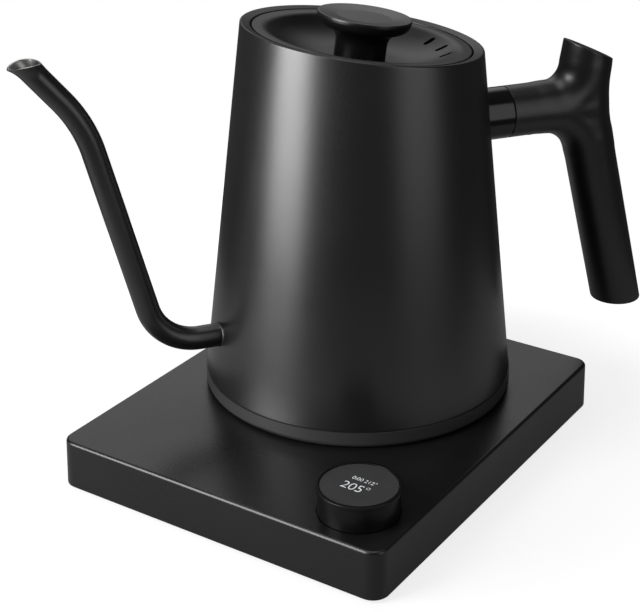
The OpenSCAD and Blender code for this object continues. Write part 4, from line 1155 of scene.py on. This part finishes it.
def make_lid():
    s = in_mm("lid")
    shell = lathe(lid_profile(s), LID)
    vents = []
    for i in range(s.vents):
        turn = s.vent_turn + (i - (s.vents - 1) / 2) * s.vent_step
        place = LID @ Matrix.Rotation(turn, 4, "Z") @ Matrix.Translation((s.vent_radius * MM, 0, 0))
        ring = [Vector((1.5 * side + 1.2 * math.cos(a), 1.2 * math.sin(a)))
                for side, first in ((1, -90), (-1, 90))
                for a in (math.radians(first + 180 * k / 12) for k in range(13))]
        vents.append(skin([[Vector((p.x, p.y, z)) for p in ring] for z in (-s.dish - 4, 0)], place=place))
    mesh = cut_with(shell, *vents)
    piece("lid_cover", mesh, "lid", "lid_satin", ["lid_shell"], 30)
    piece("knob", lathe(knob_profile(s), LID), "lid", "lid_satin", ["lid_knob"], 40)
    low, top = s.knob_top - s.cap, s.knob_top
    outline = rounded_half([
        (0, low - 1.48, 0), (s.plug - 0.02, low - 1.48, 0.1), (s.plug - 0.02, low + 0.02, 0.05),
        (s.knob, low + 0.02, 0.12), (s.knob, top, 0.22), (s.knob - 0.8, top, 0.15),
        (s.cap_flat, top - s.cap_dish, 3.0), (0, top - s.cap_dish, 0)], 5)
    piece("knob_top", turned_solid(outline, LID), "lid", "lid_satin", ["knob_cap"], 40, "cap_satin")


# CAD nodes that stay


def finish_nodes():
    """Gives each CAD node that shows the finish of its own slot."""
    for subpart in frame["record"]["subparts"]:
        node, slot = frame["nodes"].get(subpart["node"]), subpart["material_slot"]
        if node is not None and slot in FINISHES:
            node.data.materials.clear()
            node.data.materials.append(FINISHES[slot])


# Stage


FLOOR_REACH = 0.25
AWAY = math.radians(128)
AWAY_HEIGHT = math.radians(32)
BACKDROP = (0.89, 0.985)
SOFTBOX_HEIGHT = 0.50
CAMERA_AT = (0.32623, -0.51036, 0.35796)
CAMERA_TURN = math.radians(33.3165)
CAMERA_HEIGHT = math.radians(25.511)
CAMERA_ROLL = math.radians(-0.1213)
CAMERA_LENS = 86.41


def any_ray(node, *names):
    """1 for rays of one of these kinds, else 0."""
    rays = node("ShaderNodeLightPath").outputs
    found = rays[names[0]]
    for name in names[1:]:
        found = combined(node, found, rays[name], use_clamp=True)
    return found


def make_floor(look):
    """Pale floor. The camera and reflections see white of its own, dimmer near the object as painted shade and
    full white further out.
    """
    floor = bpy.data.meshes.new("floor")
    a, b = -FLOOR_REACH, FLOOR_REACH
    floor.from_pydata([(a, a, 0), (b, a, 0), (b, b, 0), (a, b, 0)], [], [(0, 1, 2, 3)])
    ground = in_scene("floor", floor)
    material, surface, node, link = shader("pale floor")
    floor.materials.append(material)
    surface.inputs["Base Color"].default_value = (look.floor, look.floor, look.floor, 1)
    surface.inputs["Roughness"].default_value = 0.9
    surface.inputs["Specular IOR Level"].default_value = 0.0
    shine = combined(node, any_ray(node, "Is Glossy Ray"), look.floor_shine, "MULTIPLY")
    seen = combined(node, any_ray(node, "Is Camera Ray", "Is Transmission Ray"), shine, use_clamp=True)
    # Painted shade: the floor's own white stays at the lower lift within half its reach of the middle, where the
    # object and its shadow stand, and rises to full white near the edge.
    out_there = node("ShaderNodeVectorMath", operation="LENGTH", inputs={0: own_place(node)}).outputs["Value"]
    white = spread(node, out_there, look.painted_shade_floor_lift, 1.0, 0.5 * FLOOR_REACH, 0.95 * FLOOR_REACH,
                   interpolation_type="SMOOTHSTEP")
    surface.inputs["Emission Color"].default_value = (1, 1, 1, 1)
    link(combined(node, seen, white, "MULTIPLY"), surface.inputs["Emission Strength"])


def make_world(look):
    """White to the camera. Other rays find the pale backdrop behind the object and a dim room in front."""
    world = bpy.data.worlds.new("studio")
    bpy.context.scene.world = world
    world.use_nodes = True
    tree = world.node_tree
    node = node_maker(tree)
    away = Vector((math.cos(AWAY), math.sin(AWAY), math.tan(AWAY_HEIGHT))).normalized()
    facing = node("ShaderNodeVectorMath", operation="DOT_PRODUCT", inputs={
        0: node("ShaderNodeTexCoord").outputs["Generated"], 1: away}).outputs["Value"]
    backdrop = spread(node, facing, look.room, 1.0, *BACKDROP, interpolation_type="SMOOTHSTEP")
    level = spread(node, any_ray(node, "Is Glossy Ray"), look.sky, look.background, 0.0, 1.0)
    dimmed = combined(node, backdrop, level, "MULTIPLY")
    seen = any_ray(node, "Is Camera Ray", "Is Transmission Ray")
    back = tree.nodes["Background"]
    back.inputs["Color"].default_value = (1, 1, 1, 1)
    tree.links.new(spread(node, seen, dimmed, look.background, 0.0, 1.0), back.inputs["Strength"])


def make_stage():
    look = sizes("look")
    make_floor(look)
    make_world(look)
    softbox("left softbox", 241, 0.75, 0.42, 15)
    softbox("right softbox", 351.6, 0.80, 0.5, 1.9)
    lamp("top softbox", (-0.15, 0.1, 1.2), (0, 0, 0), (0.8, 0.8), 4)

    data = bpy.data.cameras.new("camera")
    data.sensor_fit = "HORIZONTAL"
    data.sensor_width = 36
    data.lens = CAMERA_LENS
    data.clip_start, data.clip_end = 0.01, 20
    camera = in_scene("camera", data)
    camera.matrix_world = camera_place()
    bpy.context.scene.camera = camera
    bpy.context.scene.view_settings.view_transform = "Standard"


def camera_place():
    """Camera at the solved place, with its turn, height angle and roll."""
    return (Matrix.Translation(CAMERA_AT) @ Matrix.Rotation(CAMERA_TURN, 4, "Z")
            @ Matrix.Rotation(math.pi / 2 - CAMERA_HEIGHT, 4, "X") @ Matrix.Rotation(CAMERA_ROLL, 4, "Z"))


def softbox(name, azimuth, distance, width, watts):
    """Tall lamp at an azimuth, counted from +X, that faces the kettle's axis."""
    a = math.radians(azimuth)
    place = lambda d: (KETTLE_AT.x + d * math.cos(a), KETTLE_AT.y + d * math.sin(a), SOFTBOX_HEIGHT)
    lamp(name, place(distance), place(0), (width, 1.0), watts)


def lamp(name, at, aim, spread_of, watts):
    """Soft rectangular lamp."""
    data = bpy.data.lights.new(name, "AREA")
    data.shape = "RECTANGLE"
    data.size, data.size_y = spread_of
    data.energy = watts
    way = Vector(aim) - Vector(at)
    turned = way.to_track_quat("-Z", "Y").to_matrix().to_4x4()
    in_scene(name, data).matrix_world = Matrix.Translation(at) @ turned


# Operators and panel


class KETTLE_OT_finishes(bpy.types.Operator):
    """Make the finishes of all pieces"""

    bl_idname = "kettle.finishes"
    bl_label = "Finishes"

    def execute(self, context):
        make_finishes()
        return {"FINISHED"}


class KETTLE_OT_base(bpy.types.Operator):
    """Build the heating base's cover, feet and screws"""

    bl_idname = "kettle.base"
    bl_label = "Base"

    def execute(self, context):
        make_base()
        return {"FINISHED"}


class KETTLE_OT_dial(bpy.types.Operator):
    """Build the dial and its display figures"""

    bl_idname = "kettle.dial"
    bl_label = "Dial"

    def execute(self, context):
        make_dial()
        return {"FINISHED"}


class KETTLE_OT_body(bpy.types.Operator):
    """Build the kettle's tapered body and rim"""

    bl_idname = "kettle.body"
    bl_label = "Body"

    def execute(self, context):
        make_body()
        return {"FINISHED"}


class KETTLE_OT_spout(bpy.types.Operator):
    """Build the gooseneck spout"""

    bl_idname = "kettle.spout"
    bl_label = "Spout"

    def execute(self, context):
        make_spout()
        return {"FINISHED"}


class KETTLE_OT_handle(bpy.types.Operator):
    """Build the grip and its glossy collar"""

    bl_idname = "kettle.handle"
    bl_label = "Handle"

    def execute(self, context):
        make_handle()
        return {"FINISHED"}


class KETTLE_OT_lid(bpy.types.Operator):
    """Build the lid, its vents and its knob"""

    bl_idname = "kettle.lid"
    bl_label = "Lid"

    def execute(self, context):
        make_lid()
        return {"FINISHED"}


class KETTLE_OT_inner_parts(bpy.types.Operator):
    """Give the plain parts their finishes"""

    bl_idname = "kettle.inner_parts"
    bl_label = "Inner parts"

    def execute(self, context):
        finish_nodes()
        return {"FINISHED"}


class KETTLE_OT_stage(bpy.types.Operator):
    """Build the floor, the lamps and the camera"""

    bl_idname = "kettle.stage"
    bl_label = "Stage"

    def execute(self, context):
        make_stage()
        return {"FINISHED"}


OPERATORS = [
    KETTLE_OT_finishes, KETTLE_OT_base, KETTLE_OT_dial, KETTLE_OT_body, KETTLE_OT_spout,
    KETTLE_OT_handle, KETTLE_OT_lid, KETTLE_OT_inner_parts, KETTLE_OT_stage,
]


class KETTLE_PT_panel(bpy.types.Panel):
    """Lists the pieces of the kettle"""

    bl_label = "Gooseneck kettle"
    bl_idname = "KETTLE_PT_panel"
    bl_space_type = "VIEW_3D"
    bl_region_type = "UI"
    bl_category = "Kettle"

    def draw(self, context):
        for made in OPERATORS:
            self.layout.operator(made.bl_idname)


GROUPS = {
    "base": KettleBaseSizes, "dial": KettleDialSizes, "body": KettleBodySizes, "spout": KettleSpoutSizes,
    "handle": KettleHandleSizes, "lid": KettleLidSizes, "look": KettleLook,
}


def register():
    for group in [*GROUPS.values(), *OPERATORS, KETTLE_PT_panel]:
        bpy.utils.register_class(group)
    for name, group in GROUPS.items():
        setattr(bpy.types.Scene, "kettle_" + name, PointerProperty(type=group))


def unregister():
    for name in GROUPS:
        delattr(bpy.types.Scene, "kettle_" + name)
    for group in [KETTLE_PT_panel, *OPERATORS, *GROUPS.values()]:
        bpy.utils.unregister_class(group)


def main():
    register()
    for made in OPERATORS:
        family, name = made.bl_idname.split(".")
        getattr(getattr(bpy.ops, family), name)()


if __name__ == "__main__":
    main()
